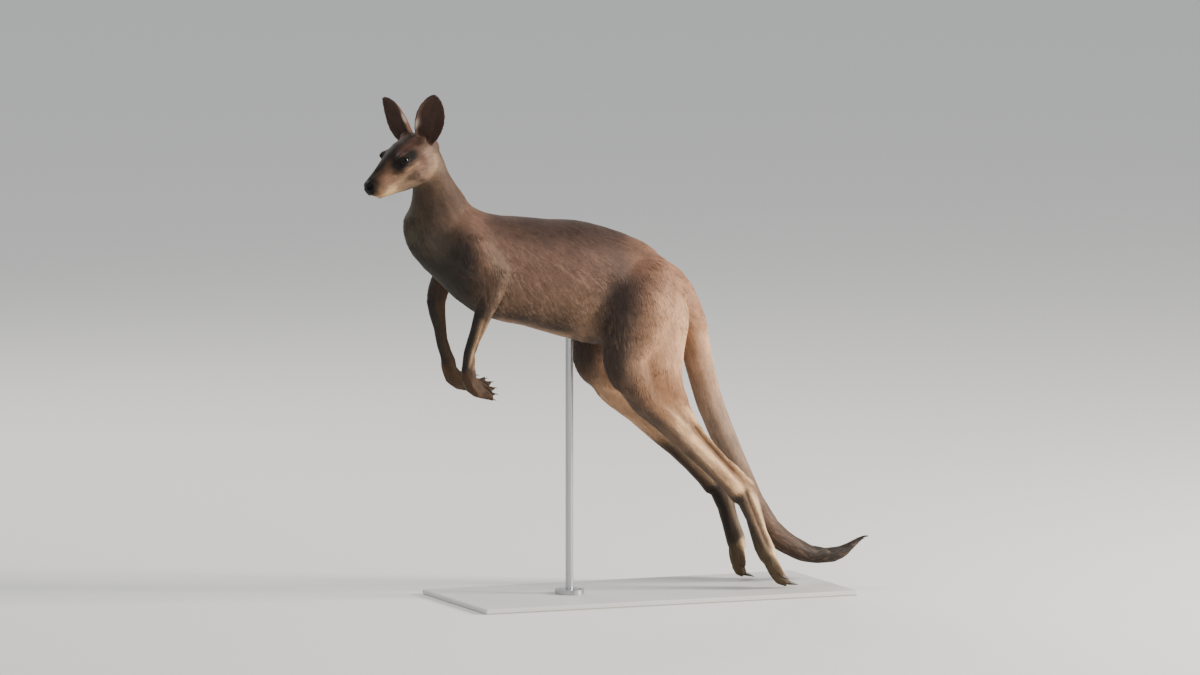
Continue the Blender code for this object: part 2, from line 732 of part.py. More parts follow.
def main():
    clear_scene()
    scene = bpy.context.scene.collection
    kangaroo = bpy.data.collections.new("kangaroo")
    helpers = bpy.data.collections.new("helpers")
    scene.children.link(kangaroo)
    scene.children.link(helpers)

    fur = finish_of("fur", (0.27, 0.18, 0.12), 0.85)
    ear_skin = finish_of("ear_skin", (0.10, 0.06, 0.045), 0.8)
    nose_skin = finish_of("nose_skin", (0.012, 0.011, 0.012), 0.4)
    eye_gloss = finish_of("eye_gloss", (0.02, 0.010, 0.006), 0.05)
    claw_horn = finish_of("claw_horn", (0.05, 0.04, 0.035), 0.35)
    stand_paint = finish_of("stand_paint", (0.55, 0.55, 0.53), 0.6)
    rod_steel = finish_of("rod_steel", (0.45, 0.45, 0.46), 0.3, 1.0)

    body = fuse_body(kangaroo)
    swollen = bpy.data.objects.new("swollen", body.data.copy())
    helpers.objects.link(swollen)
    grow = swollen.modifiers.new("grow", "DISPLACE")
    grow.strength = FIT
    grow.mid_level = 0.0
    applied(swollen)

    ears = [
        ear(
            "ear_left",
            -1.0,
            LEVEL * 0.08 + LEFT * 0.46 + UP * 0.88,
            LEVEL * 0.45 + LEFT * 0.89,
            kangaroo,
        ),
        ear(
            "ear_right",
            1.0,
            LEVEL * 0.38 - LEFT * 0.60 + UP * 0.76,
            LEVEL * 0.98 - LEFT * 0.10,
            kangaroo,
        ),
    ]
    horn = []
    for word, side in SIDES.items():
        horn += claws(side, word, kangaroo)
    for thing in ears + horn:
        cut_by(thing, swollen, keep_cutter=True)
        keep_largest(thing)
    base, flange, rod = stand_pieces(kangaroo, swollen)

    eyes = []
    for word, side in SIDES.items():
        place = in_head(EYE_PLACE, side)
        reach = EYE_RADIUS + FIT
        socket = ball("socket", place, (reach,) * 3, helpers, segments=14)
        cut_by(body, socket)
        eyes.append(ball(f"eye_{word}", place, (EYE_RADIUS,) * 3, kangaroo, segments=14))

    pieces = parted(body, parting_cutters(helpers), anchors(), kangaroo)
    for name, piece in pieces.items():
        piece.data.materials.append(nose_skin if name == "nose" else fur)
    finishes = ((ears, ear_skin), (horn, claw_horn), (eyes, eye_gloss))
    finishes += (([base], stand_paint), ([flange, rod], rod_steel))
    for things, finish in finishes:
        for thing in things:
            thing.data.materials.clear()
            thing.data.materials.append(finish)
    bpy.data.objects.remove(swollen, do_unlink=True)
    helpers.hide_render = True


main()
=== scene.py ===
import math

import bmesh
import bpy
import numpy as np
from mathutils import Matrix, Vector
from mathutils.bvhtree import BVHTree
from mathutils.kdtree import KDTree


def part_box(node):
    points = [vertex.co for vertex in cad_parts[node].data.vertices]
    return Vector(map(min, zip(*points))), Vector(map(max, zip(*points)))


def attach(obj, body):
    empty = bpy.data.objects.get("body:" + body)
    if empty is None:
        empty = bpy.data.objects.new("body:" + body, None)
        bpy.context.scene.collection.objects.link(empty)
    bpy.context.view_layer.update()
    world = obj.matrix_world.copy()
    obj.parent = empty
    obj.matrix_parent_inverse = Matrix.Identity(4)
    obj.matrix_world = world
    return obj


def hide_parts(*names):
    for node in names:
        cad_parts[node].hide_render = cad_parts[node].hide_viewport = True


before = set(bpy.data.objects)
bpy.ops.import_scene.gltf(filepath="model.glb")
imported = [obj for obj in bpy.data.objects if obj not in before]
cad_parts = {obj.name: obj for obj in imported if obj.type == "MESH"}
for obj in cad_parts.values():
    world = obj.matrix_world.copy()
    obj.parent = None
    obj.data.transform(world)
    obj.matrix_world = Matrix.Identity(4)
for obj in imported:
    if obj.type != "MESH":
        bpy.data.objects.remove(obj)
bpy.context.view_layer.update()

# ---------------------------------------------------------------- camera, lights and floor
# A long lens looks a little down on the animal's left side. A broad soft light stands high
# behind its tail, a weak one fills from the left and another lifts the back. A pale floor runs
# back to a pale sky.

VIEW_TURN, VIEW_TILT = math.radians(22.0), math.radians(6.5)
VIEW_DISTANCE, VIEW_WIDTH, VIEW_REACH = 40.0, 2.76, 200.0
# The lens aims at a place this far along the view's own axes from a point over the origin.
VIEW_FROM, VIEW_ASIDE, VIEW_UP = 0.02, -0.092, 0.57224
SENSOR_WIDTH = 36.0
# Place, watts, width and colour of each lamp, and the place they all face.
LAMPS = {
    "key": ((4.9, -2.6, 2.3), 820.0, 1.5, (1.0, 0.94, 0.86)),
    "fill": ((-3.4, -4.6, 2.6), 70.0, 3.0, (0.93, 0.96, 1.0)),
    "rim": ((-1.0, 4.2, 3.6), 120.0, 2.2, (1.0, 0.97, 0.93)),
}
LAMPS_FACE = (0.0, 0.0, 0.6)
SKY, SKY_STRENGTH = (0.90, 0.93, 0.97, 1.0), 0.70
FLOOR_REACH, FLOOR_GREY, FLOOR_ROUGHNESS, PLAIN_SHINE = 60.0, (0.74, 0.73, 0.70, 1.0), 0.9, 0.5


def added(name, data):
    """A new object in the scene."""
    thing = bpy.data.objects.new(name, data)
    bpy.context.scene.collection.objects.link(thing)
    return thing


def mesh_from(shape, name):
    """Turns a bmesh into a mesh and frees it."""
    mesh = bpy.data.meshes.new(name)
    shape.to_mesh(mesh)
    shape.free()
    return mesh


def finish(name, roughness, shine):
    """A material with its shader and the uniform values on it."""
    made = bpy.data.materials.new(name)
    made.use_nodes = True
    shader = made.node_tree.nodes["Principled BSDF"]
    shader.inputs["Roughness"].default_value = roughness
    shader.inputs["Specular IOR Level"].default_value = shine
    return made, shader


view_back = Vector((
    -math.sin(VIEW_TURN) * math.cos(VIEW_TILT),
    -math.cos(VIEW_TURN) * math.cos(VIEW_TILT),
    math.sin(VIEW_TILT),
))
view_right = Vector((math.cos(VIEW_TURN), -math.sin(VIEW_TURN), 0.0))
view_up = view_back.cross(view_right)
aim = Vector((0.0, 0.0, VIEW_FROM)) + view_right * VIEW_ASIDE + view_up * VIEW_UP

camera_data = bpy.data.cameras.new("camera")
camera_data.sensor_width = SENSOR_WIDTH
camera_data.lens = SENSOR_WIDTH * VIEW_DISTANCE / VIEW_WIDTH
camera_data.clip_end = VIEW_REACH
camera = added("camera", camera_data)
camera.matrix_world = Matrix.Translation(aim + view_back * VIEW_DISTANCE) @ Matrix(
    (view_right, view_up, view_back)
).transposed().to_4x4()
bpy.context.scene.camera = camera

for name, (place, watts, size, tint) in LAMPS.items():
    lamp = bpy.data.lights.new(name, "AREA")
    lamp.energy, lamp.size, lamp.color = watts, size, tint
    turn = (Vector(LAMPS_FACE) - Vector(place)).to_track_quat("-Z", "Y").to_matrix().to_4x4()
    added(name, lamp).matrix_world = Matrix.Translation(place) @ turn

world = bpy.data.worlds.new("studio")
world.use_nodes = True
world.node_tree.nodes["Background"].inputs["Color"].default_value = SKY
world.node_tree.nodes["Background"].inputs["Strength"].default_value = SKY_STRENGTH
bpy.context.scene.world = world

shape = bmesh.new()
bmesh.ops.create_grid(shape, x_segments=2, y_segments=2, size=FLOOR_REACH)
floor = added("floor", mesh_from(shape, "floor"))
floor_finish, floor_shader = finish("floor_finish", FLOOR_ROUGHNESS, PLAIN_SHINE)
floor_shader.inputs["Base Color"].default_value = FLOOR_GREY
floor.data.materials.append(floor_finish)


# ---------------------------------------------------------------- landmarks of the body
# The flesh nodes meet at the neck, shoulders, hips, knees and so on. These joints and the
# axes of the head place everything that the skin and the coat carry.

LEG, ARM = ("thigh", "shank", "foot", "toes"), ("upper_arm", "forearm", "hand")
TAIL = ("tail_root", "tail_middle", "tail_lower", "tail_tip")
TRUNK = ("head", "neck", "chest", "belly", "rump")
# The way of each side along the head's left-hand axis.
SIDES = {"left": 1.0, "right": -1.0}
FLESH = TRUNK + TAIL + tuple(f"{limb}_{side}" for side in SIDES for limb in LEG + ARM)
SEAM_REACH, LEAST = 0.0025, 1e-9
EYE_AHEAD, EYE_UP = 0.103, 0.005
NOSE_AHEAD, NOSE_UP = 0.2005, -0.0165


def corners_of(node):
    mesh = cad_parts[node].data
    places = np.zeros(len(mesh.vertices) * 3)
    mesh.vertices.foreach_get("co", places)
    return places.reshape(-1, 3)


def seam(one, other):
    """The middle of the cut between two nodes."""
    places = corners_of(other)
    tree = KDTree(len(places))
    for number, place in enumerate(places):
        tree.insert(place, number)
    tree.balance()
    near = np.array([p for p in corners_of(one) if tree.find(p)[2] < SEAM_REACH])
    return (near.min(axis=0) + near.max(axis=0)) / 2


def middle(node):
    low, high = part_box(node)
    return np.array((low + high) / 2)


def unit(vector):
    vector = np.asarray(vector, float)
    return vector / np.maximum(np.linalg.norm(vector, axis=-1, keepdims=True), LEAST)


eye_places = {side: middle(f"eye_{side}") for side in SIDES}
eye_radius = float((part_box("eye_left")[1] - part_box("eye_left")[0]).z) / 2
between_eyes = (eye_places["left"] + eye_places["right"]) / 2
head_left = unit(eye_places["left"] - eye_places["right"])
nose_place = middle("nose")
to_nose = nose_place - between_eyes
to_nose -= head_left * (to_nose @ head_left)
droop = math.atan2(EYE_UP - NOSE_UP, NOSE_AHEAD - EYE_AHEAD)
straight = unit(to_nose)
square = np.cross(straight, head_left)
head_ahead = straight * math.cos(droop) + square * math.sin(droop)
head_up = np.cross(head_ahead, head_left)
head_back = between_eyes - head_ahead * EYE_AHEAD - head_up * EYE_UP
HEAD_AXES = np.array((head_ahead, head_left, head_up))


def in_head(places):
    """Forward, leftward and upward distances in the head."""
    return (places - head_back) @ HEAD_AXES.T


def from_head(ahead, left, up):
    return head_back + np.array((ahead, left, up)) @ HEAD_AXES


JOINTS = {
    "nape": seam("head", "neck"), "withers": seam("neck", "chest"),
    "waist": seam("chest", "belly"), "loin": seam("belly", "rump"),
}
for upper, lower in zip(("rump",) + TAIL, TAIL):
    JOINTS[lower] = seam(upper, lower)
for side in SIDES:
    for upper, lower in zip(LEG[:-1] + ARM[:-1], LEG[1:] + ARM[1:]):
        JOINTS[upper, lower, side] = seam(f"{upper}_{side}", f"{lower}_{side}")


# ---------------------------------------------------------------- skin: form
# The hide of the whole animal is one closed sheet. It starts from the flesh nodes grown
# together, loses their facets, and then sinks by the depth of the coat that lies on it.

SKIN_VOXEL = 0.0018
SEAM_GROWTH, WELD = 0.0004, 1e-6
LID_THICKNESS, SOCKET_FINENESS = 0.0009, 4
# How far each region is smoothed, as a share of the most, and how deep its coat is.
REGIONS = {
    "head": (0.060, 0.0015), "neck": (0.80, 0.0020), "chest": (1.0, 0.0020),
    "belly": (1.0, 0.0021), "rump": (1.0, 0.0020), "tail_root": (0.45, 0.0019),
    "tail_middle": (0.35, 0.0018), "tail_lower": (0.22, 0.0016), "tail_tip": (0.10, 0.0014),
    "thigh": (0.90, 0.0019), "shank": (0.16, 0.0012), "foot": (0.10, 0.0011),
    "toes": (0.045, 0.0007), "upper_arm": (0.30, 0.0017), "forearm": (0.10, 0.0012),
    "hand": (0.030, 0.0007), "ear": (0.025, 0.0002), "nose": (0.05, 0.0002),
}
SHARE_ROUNDS, DEPTH_ROUNDS, NORMAL_ROUNDS = 12, 16, 6
SMOOTH_ROUNDS, RESTORE_ROUNDS, FULL_SHARE = 110, 160, 0.10
BROW_SHARE, BROW_REACH = 0.34, (0.024, 0.036)
NAPE_SHARE, NAPE_REACH = 0.45, (0.020, 0.055)
LAST_ROUNDS, LAST_PULL, LAST_GAIN = 6, 0.4, 3
HIDE = FLESH + ("nose", "ear_left", "ear_right")


def region_of(node):
    return node.removesuffix("_left").removesuffix("_right")


def grown(node):
    """A closed copy of a node, grown just enough to bridge the cuts."""
    shape = bmesh.new()
    shape.from_mesh(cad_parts[node].data)
    bmesh.ops.remove_doubles(shape, verts=shape.verts, dist=WELD)
    shape.normal_update()
    for corner in shape.verts:
        corner.co += corner.normal * SEAM_GROWTH
    return mesh_from(shape, "scrap")


def arrays_of(mesh):
    """Vertices, edges and loop triangles of a mesh."""
    places = np.zeros(len(mesh.vertices) * 3)
    mesh.vertices.foreach_get("co", places)
    edges = np.zeros(len(mesh.edges) * 2, np.int64)
    mesh.edges.foreach_get("vertices", edges)
    mesh.calc_loop_triangles()
    faces = np.zeros(len(mesh.loop_triangles) * 3, np.int64)
    mesh.loop_triangles.foreach_get("vertices", faces)
    return places.reshape(-1, 3), edges.reshape(-1, 2), faces.reshape(-1, 3)


def made_plain(thing, name):
    """Puts an object's evaluated mesh in place of its mesh and modifiers."""
    graph = bpy.context.evaluated_depsgraph_get()
    plain = bpy.data.meshes.new_from_object(thing.evaluated_get(graph))
    thing.modifiers.clear()
    spare, thing.data = thing.data, plain
    bpy.data.meshes.remove(spare)
    plain.name = name
    return plain


def relaxed(values, edges, rounds, share=0.5):
    """Moves each vertex's value towards the mean of its neighbours', `rounds` times."""
    ones, twos = edges.T
    count = len(values)
    degree = np.maximum(np.bincount(ones, minlength=count) + np.bincount(twos, minlength=count), 1)
    flat = values.ndim == 1
    values = values[:, None].copy() if flat else values.copy()
    share = np.broadcast_to(share, (count,))
    for _ in range(rounds):
        for axis in range(values.shape[1]):
            column = values[:, axis]
            around = np.bincount(ones, column[twos], count) + np.bincount(twos, column[ones], count)
            values[:, axis] = column + share * (around / degree - column)
    return values[:, 0] if flat else values


def facing(places, faces):
    """Unit normals at the vertices."""
    one, two, three = (places[faces[:, k]] for k in range(3))
    flat = np.cross(two - one, three - one)
    total = np.zeros_like(places)
    for axis in range(3):
        for k in range(3):
            total[:, axis] += np.bincount(faces[:, k], flat[:, axis], len(places))
    return unit(total)


def fading(values, near, far):
    """1 up to `near`, falling in a straight line to 0 at `far`."""
    return np.clip((far - values) / (far - near), 0, 1)


def from_eyes(places):
    """Distance to the nearer eye's centre."""
    return np.min([np.linalg.norm(places - eye_places[side], axis=1) for side in SIDES], axis=0)


whole = bmesh.new()
patches, owners = [], []
for number, node in enumerate(HIDE):
    scrap = grown(node)
    whole.from_mesh(scrap)
    corners, _, triangles = arrays_of(scrap)
    patches.append(corners[triangles])
    owners += [number] * len(triangles)
    bpy.data.meshes.remove(scrap)
for side in SIDES:
    bmesh.ops.create_icosphere(
        whole, subdivisions=SOCKET_FINENESS, radius=eye_radius + LID_THICKNESS,
        matrix=Matrix.Translation(eye_places[side]),
    )
skin = added("skin", mesh_from(whole, "rough"))
remesh = skin.modifiers.new("remesh", "REMESH")
remesh.mode = "VOXEL"
remesh.voxel_size = SKIN_VOXEL
form = made_plain(skin, "form")
points, edges, faces = arrays_of(form)

patches = np.concatenate(patches).reshape(-1, 3)
patch_tree = BVHTree.FromPolygons(patches.tolist(), np.arange(len(patches)).reshape(-1, 3).tolist())


def regions_at(places):
    """The number in HIDE of the node that each place belongs to."""
    find = patch_tree.find_nearest
    return np.array([owners[find(place)[2]] for place in places.tolist()])


owner = regions_at(points)
amounts = np.array([REGIONS[region_of(node)] for node in HIDE])
share = relaxed(amounts[owner, 0], edges, SHARE_ROUNDS)
depth = relaxed(amounts[owner, 1], edges, DEPTH_ROUNDS)
share = np.maximum(share, BROW_SHARE * fading(from_eyes(points), *BROW_REACH))
nape = fading(in_head(points)[:, 0], *NAPE_REACH) * (owner == HIDE.index("head"))
share = np.maximum(share, NAPE_SHARE * relaxed(nape, edges, SHARE_ROUNDS))
points = relaxed(points, edges, SMOOTH_ROUNDS, 0.5 * share)
normals = unit(relaxed(facing(points, faces), edges, NORMAL_ROUNDS))
# Smoothing thins the limbs and fills the hollows, so what it took is laid back on, softly.
true_places = np.array([patch_tree.find_nearest(place)[0] for place in points.tolist()])
lost = np.einsum("ij,ij->i", true_places - points, normals)
lost *= np.clip(share / FULL_SHARE, 0, 1) * (owner != HIDE.index("head"))
points += normals * (relaxed(lost, edges, RESTORE_ROUNDS) - depth)[:, None]
points = relaxed(points, edges, LAST_ROUNDS, LAST_PULL * np.minimum(1.0, share * LAST_GAIN))
# Smoothing draws a thin ear in, so each is let out again to its full length.
for node in HIDE[-2:]:
    on_ear = owner == HIDE.index(node)
    full = corners_of(node)
    middle_of_ear, way = full.mean(axis=0), unit(full[np.argmax(full @ head_up)] - full.mean(axis=0))
    run = (points - middle_of_ear) @ way
    gain = ((full - middle_of_ear) @ way).max() / run[on_ear].max() - 1
    points += way * (np.clip(run, 0, None) * gain * on_ear)[:, None]


# ---------------------------------------------------------------- skin: muscles and tendons
# Under the thin hide of a lean leaping animal the big muscles part, and over the shin, heel
# and forearm the tendons stand out in cords with grooves between them.

# Each line has three places, given as a share of the way down the limb and metres ahead of it,
# then its width and its height. Cords stand above 0, and grooves lie below it.
LIMB_LINES = {
    "shank": (
        # The heel tendon, with a groove before it and the edge of the shin ahead of that.
        ((0.26, -0.042), (0.62, -0.031), (1.04, -0.028), 0.0070, 0.0030),
        ((0.22, -0.024), (0.60, -0.016), (1.00, -0.014), 0.0075, -0.0075),
        ((0.10, 0.004), (0.45, -0.001), (1.02, 0.001), 0.0070, 0.0026),
        ((0.30, 0.014), (0.60, 0.013), (0.96, 0.014), 0.0065, -0.0024),
        # The calf's edge where it leaves the thigh.
        ((-0.10, -0.050), (0.05, -0.030), (0.30, -0.010), 0.0180, -0.0020),
    ),
    "foot": (
        ((-0.05, -0.011), (0.50, -0.012), (1.05, -0.010), 0.0045, 0.0022),
        ((-0.05, -0.003), (0.50, -0.003), (1.08, -0.002), 0.0048, -0.0040),
        ((-0.05, 0.006), (0.50, 0.006), (1.08, 0.006), 0.0045, 0.0022),
    ),
    "forearm": (
        ((0.00, -0.010), (0.50, -0.008), (1.00, -0.007), 0.0042, 0.0016),
        ((0.05, -0.002), (0.50, -0.002), (0.95, -0.002), 0.0050, -0.0014),
        ((0.00, 0.007), (0.50, 0.005), (1.00, 0.005), 0.0050, 0.0012),
    ),
}
# The heel bone and the knee cap, placed in the same way.
HEEL_BONE, KNEE_CAP = (0.02, -0.018, 0.012, 0.0022), (-0.16, 0.026, 0.020, 0.0030)
# Metres back and up from the hip, the front of the thigh, the shoulder or a joint of the neck,
# then the width and height of the form that runs through those places.
THIGH_BELLIES = (((0.020, 0.050),), 0.055, 0.0045), (((0.015, -0.070),), 0.040, 0.0030)
THIGH_GROOVE = ((-0.020, 0.090), (-0.030, 0.010), (-0.042, -0.080)), 0.034, -0.0030
FLANK_HOLLOW = ((0.055, 0.085), (0.022, 0.030), (0.014, -0.050)), 0.026, -0.0070
FLANK_FOLD = ((-0.018, -0.035), (-0.004, -0.075), (0.006, -0.120)), 0.0110, 0.0050
SHOULDER_BULGES = (
    (((-0.006, 0.050),), 0.034, 0.0040), (((0.026, -0.008),), 0.026, 0.0035),
    (((-0.030, -0.014),), 0.016, -0.0035),
)
NECK_MUSCLE = (("nape", -0.012, 0.010), ("withers", -0.034, 0.020), ("withers", -0.050, -0.050))
NECK_WIDTH, NECK_HEIGHT = 0.013, 0.0028
THIGH_FRONT_UP, DOT = 0.06, 1e-4
# Width and height of a finger's ridge and of the groove between two fingers, and the shares of
# the way from claw to wrist that they take.
FINGERS, FINGER_RIDGE, FINGER_GROOVE = (1, 2, 3, 4, 5), (0.0032, 0.0010), (0.0028, -0.0014)
RIDGE_SHARE, GROOVE_FROM, GROOVE_TO = 0.55, 0.06, 0.45
# Centre in the side view, reach, rounds and lowest slope of the hide that is calmed there.
CALMED = (((-0.405, 0.920), 0.065, 200, -0.2), ((-0.095, 0.770), 0.055, 60, -2.0))
CALM_EDGE = (0.006, 0.030)
END_FADE, OUTER_FACE = 6.0, (0.0, 0.5)


def tip_of(node, way):
    """The corner of a node that lies farthest along `way`."""
    corners = corners_of(node)
    return corners[np.argmax(corners @ np.asarray(way))]


def along_limb(start, end, share, aside):
    """A point in the side view: a share of the way from joint to joint, and metres ahead of it."""
    axis = unit((end - start) * (1, 0, 1))
    ahead = np.array((-axis[2], 0.0, axis[0]))
    ahead = ahead if ahead[0] < 0 else -ahead
    return start + (end - start) * share + ahead * aside


def to_route(places, route):
    """Distance from each place to a route, and how far along the route the nearest point is."""
    best, along = np.full(len(places), np.inf), np.zeros(len(places))
    for number, (one, two) in enumerate(zip(route[:-1], route[1:])):
        one, two = np.asarray(one), np.asarray(two)
        span = two - one
        share = np.clip((places - one) @ span / (span @ span), 0, 1)
        away = np.linalg.norm(places - one - share[:, None] * span, axis=1)
        along = np.where(away < best, (number + share) / (len(route) - 1), along)
        best = np.minimum(best, away)
    return best, along


def hump(away, width):
    """1 at no distance, falling softly to 0 over `width`."""
    return np.exp(-((away / width) ** 2))


def near_line(places, route, width):
    """1 on a route seen from the side, falling to 0 over `width` and towards its ends."""
    best, along = to_route(places[:, (0, 2)], [np.asarray(place)[[0, 2]] for place in route])
    fade = 1.0 if len(route) < 3 else np.clip(along * (1 - along) * END_FADE, 0, 1)
    return hump(best, width) * fade


def step(values, low, high):
    """A smooth rise from 0 at `low` to 1 at `high`."""
    share = np.clip((values - low) / (high - low), 0, 1)
    return share * share * (3 - 2 * share)


def on_nodes(nodes):
    """True at the vertices that belong to some nodes."""
    return np.isin(owner, [HIDE.index(node) for node in nodes])


def raised(places, normals, route, width, height, side, members):
    """Raises the outer face of some regions along a route, or grooves it for a height below 0."""
    route = [*route, route[0] + DOT] if len(route) == 1 else route
    shows = step(normals[:, 1] * -SIDES[side], *OUTER_FACE) * on_nodes(members)
    lift = near_line(places, route, width) * shows * height
    return places + normals * lift[:, None]


normals = facing(points, faces)
cords, finger_gaps = [], []
for side in SIDES:
    knee, heel = JOINTS["thigh", "shank", side], JOINTS["shank", "foot", side]
    ball = JOINTS["foot", "toes", side]
    elbow, wrist = JOINTS["upper_arm", "forearm", side], JOINTS["forearm", "hand", side]
    leg, arm = ([f"{limb}_{side}" for limb in limbs] for limbs in (LEG, ARM))
    for limb, start, end, members, shown in (
        ("shank", knee, heel, leg[:3], leg[1:3]),
        ("foot", heel, ball, leg[1:], leg[2:]),
        ("forearm", elbow, wrist, arm, arm[1:2]),
    ):
        for *places, width, height in LIMB_LINES[limb]:
            route = [along_limb(start, end, *place) for place in places]
            points = raised(points, normals, route, width, height, side, members)
            cords.append((route, width, height, side, shown))
    for start, end, (share, aside, width, height), members in (
        (heel, ball, HEEL_BONE, leg[1:3]), (knee, heel, KNEE_CAP, leg[:2]),
    ):
        knob = [along_limb(start, end, share, aside)]
        points = raised(points, normals, knob, width, height, side, members)
    # The thigh's muscles, the hollow before it, the fold of skin from flank to knee, and the
    # shoulder.
    hip, shoulder = middle(f"thigh_{side}"), middle(f"upper_arm_{side}")
    thigh_front = np.array((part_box(f"thigh_{side}")[0].x, 0.0, hip[2] + THIGH_FRONT_UP))
    flank, breast = ["belly", "rump", leg[0]], arm + ["chest"]
    for base, (steps, width, height), members in (
        *((hip, belly, leg[:1]) for belly in THIGH_BELLIES), (hip, THIGH_GROOVE, leg[:1]),
        (thigh_front, FLANK_HOLLOW, flank), (thigh_front, FLANK_FOLD, flank),
        *((shoulder, bulge, breast) for bulge in SHOULDER_BULGES),
    ):
        route = [base + np.array((back, 0, up)) for back, up in steps]
        points = raised(points, normals, route, width, height, side, members)
    # Each finger is a ridge that runs back from its claw, and a groove lies between two of them.
    roots = [corners_of(f"finger_claw_{number}_{side}") for number in FINGERS]
    roots = [corners[np.argmin(np.linalg.norm(corners - wrist, axis=1))] for corners in roots]
    for finger in roots:
        route = (finger, finger + (wrist - finger) * RIDGE_SHARE)
        for face in SIDES:
            points = raised(points, normals, route, *FINGER_RIDGE, face, arm[2:])
    roots.sort(key=lambda place: place[2])
    for one, two in zip(roots[:-1], roots[1:]):
        gap = (one + two) / 2
        route = (gap + (wrist - gap) * GROOVE_FROM, gap + (wrist - gap) * GROOVE_TO)
        for face in SIDES:
            points = raised(points, normals, route, *FINGER_GROOVE, face, arm[2:])
        finger_gaps.append((route, arm[2:]))
    # The neck's long muscle runs from behind the jaw to the breast.
    route = [JOINTS[joint] + np.array((back, 0, up)) for joint, back, up in NECK_MUSCLE]
    members = ["neck", "chest", "head"]
    points = raised(points, normals, route, NECK_WIDTH, NECK_HEIGHT, side, members)
# The neck runs into the back in one hollow line, and the thigh into the flank above its fold.
for centre, reach, rounds, lowest in CALMED:
    away = np.linalg.norm(points[:, (0, 2)] - centre, axis=1)
    here = np.nonzero((away < reach) & (normals[:, 2] > lowest))[0]
    local = np.full(len(points), -1)
    local[here] = np.arange(len(here))
    inside = local[edges]
    inside = inside[(inside >= 0).all(axis=1)]
    calm = 0.5 * step(reach - away[here], *CALM_EDGE)
    # A vertex at the rim of the place has few neighbours in it, and stays.
    calm[np.bincount(inside.ravel(), minlength=len(here)) < 3] = 0
    points[here] = relaxed(points[here], inside, rounds, calm)


# ---------------------------------------------------------------- skin: face
# Lids wrap each eye with a pointed inner corner, the mouth runs back from under the nose in
# a long line, and the nostrils are commas at the sides of the nose.

EYE_FACING = (0.36, 0.915, 0.18)
LID_LONG, LID_HIGH, LOW_LID_SHARE = 0.0108, 0.0072, 0.80
LID_SLANT = math.radians(16.0)
LID_EDGE, LID_CUT = 0.0011, -0.2
INNER_SHARP, OUTER_SHARP, LID_ROUND = 1.35, 1.9, 0.8
SUNK, CORNER_HOOK, CORNER_DEEP = 0.0040, 0.0022, 0.002
NEAR_EYE, EYE_BLEND, EYE_BACK = 0.030, 0.012, -0.002
EYE_FINE, NOSE_FINE = 0.021, 0.176
# The rim of the lids, the crease round them and the bag below: metres from the slit, width, and
# height on the upper and lower lid.
LID_FORMS = (
    (0.0016, 0.0014, 0.0007, 0.0007), (0.0052, 0.0014, -0.0013, -0.0009),
    (0.0095, 0.0018, 0.0, -0.0008),
)
# Routes over either side of the head, in metres ahead, aside and up, with width and height.
MOUTH = (
    (0.2040, 0.0000, -0.0340), (0.1990, 0.0100, -0.0385), (0.1850, 0.0175, -0.0410),
    (0.1650, 0.0210, -0.0425), (0.1440, 0.0235, -0.0450), (0.1330, 0.0250, -0.0430),
)
FACE_FORMS = (
    (MOUTH, 0.0019, -0.0034),
    # The two lips, the cleft under the nose, the whisker pad and the mouth's corner.
    (tuple((f, s + 0.001, u + 0.0052) for f, s, u in MOUTH[:-1]), 0.0040, 0.0014),
    (tuple((f, s, u - 0.0055) for f, s, u in MOUTH[:-1]), 0.0038, 0.0010),
    (((0.2080, 0.0, -0.0260), (0.2040, 0.0, -0.0340)), 0.0014, -0.0022),
    (((0.1800, 0.0180, -0.0200), (0.1650, 0.0220, -0.0240)), 0.0110, 0.0022),
    (((0.1330, 0.0250, -0.0430), (0.1240, 0.0270, -0.0420)), 0.0060, -0.0012),
    # The hollow before the cheek bone and the cheek itself.
    (((0.1500, 0.0235, -0.0060), (0.1260, 0.0300, -0.0100)), 0.0080, -0.0018),
    (((0.0880, 0.0450, -0.0200), (0.0600, 0.0490, -0.0150)), 0.0090, 0.0016),
)
NOSTRIL = ((0.2035, 0.0080, -0.0120), (0.2000, 0.0125, -0.0135), (0.1945, 0.0155, -0.0110))
NOSTRIL_WIDTH, NOSTRIL_DEPTH, NOSTRIL_RIM = 0.0028, 0.0060, (0.0046, 0.0018, 0.0009)
NOSTRIL_IN, NOSTRIL_SIDE = 0.75, 0.66
FACE_ROUNDS, FACE_PULL, FINE_ROUND = 2, 0.25, 0.6


def eye_facing(side):
    """The way that an eye looks."""
    return unit(np.array(EYE_FACING) * (1, SIDES[side], 1)) @ HEAD_AXES


def eye_coordinates(places, side):
    """Places round an eye: along the slit, up across it, outwards, and their distance."""
    face = eye_facing(side)
    level = unit(head_ahead - face * (head_ahead @ face))
    upright = unit(np.cross(level, face))
    upright = upright if upright @ head_up > 0 else -upright
    slit = level * math.cos(LID_SLANT) - upright * math.sin(LID_SLANT)
    across = upright * math.cos(LID_SLANT) + level * math.sin(LID_SLANT)
    away = places - eye_places[side]
    return away @ slit, away @ across, away @ face, np.linalg.norm(away, axis=1)


def lid_gap(ahead, upward):
    """Below 0 inside the slit between the lids, above 0 outside it, in metres."""
    inner = ahead > 0
    reach = np.where(inner, LID_LONG + CORNER_HOOK, LID_LONG)
    share = np.clip(np.abs(ahead) / reach, 0, 1)
    sharp = np.where(inner, INNER_SHARP, OUTER_SHARP)
    high = np.where(upward > 0, LID_HIGH, LID_HIGH * LOW_LID_SHARE)
    over = np.abs(upward) - high * (1 - share**sharp) ** LID_ROUND
    return np.where(np.abs(ahead) < reach, over, np.abs(ahead) - reach + CORNER_DEEP)


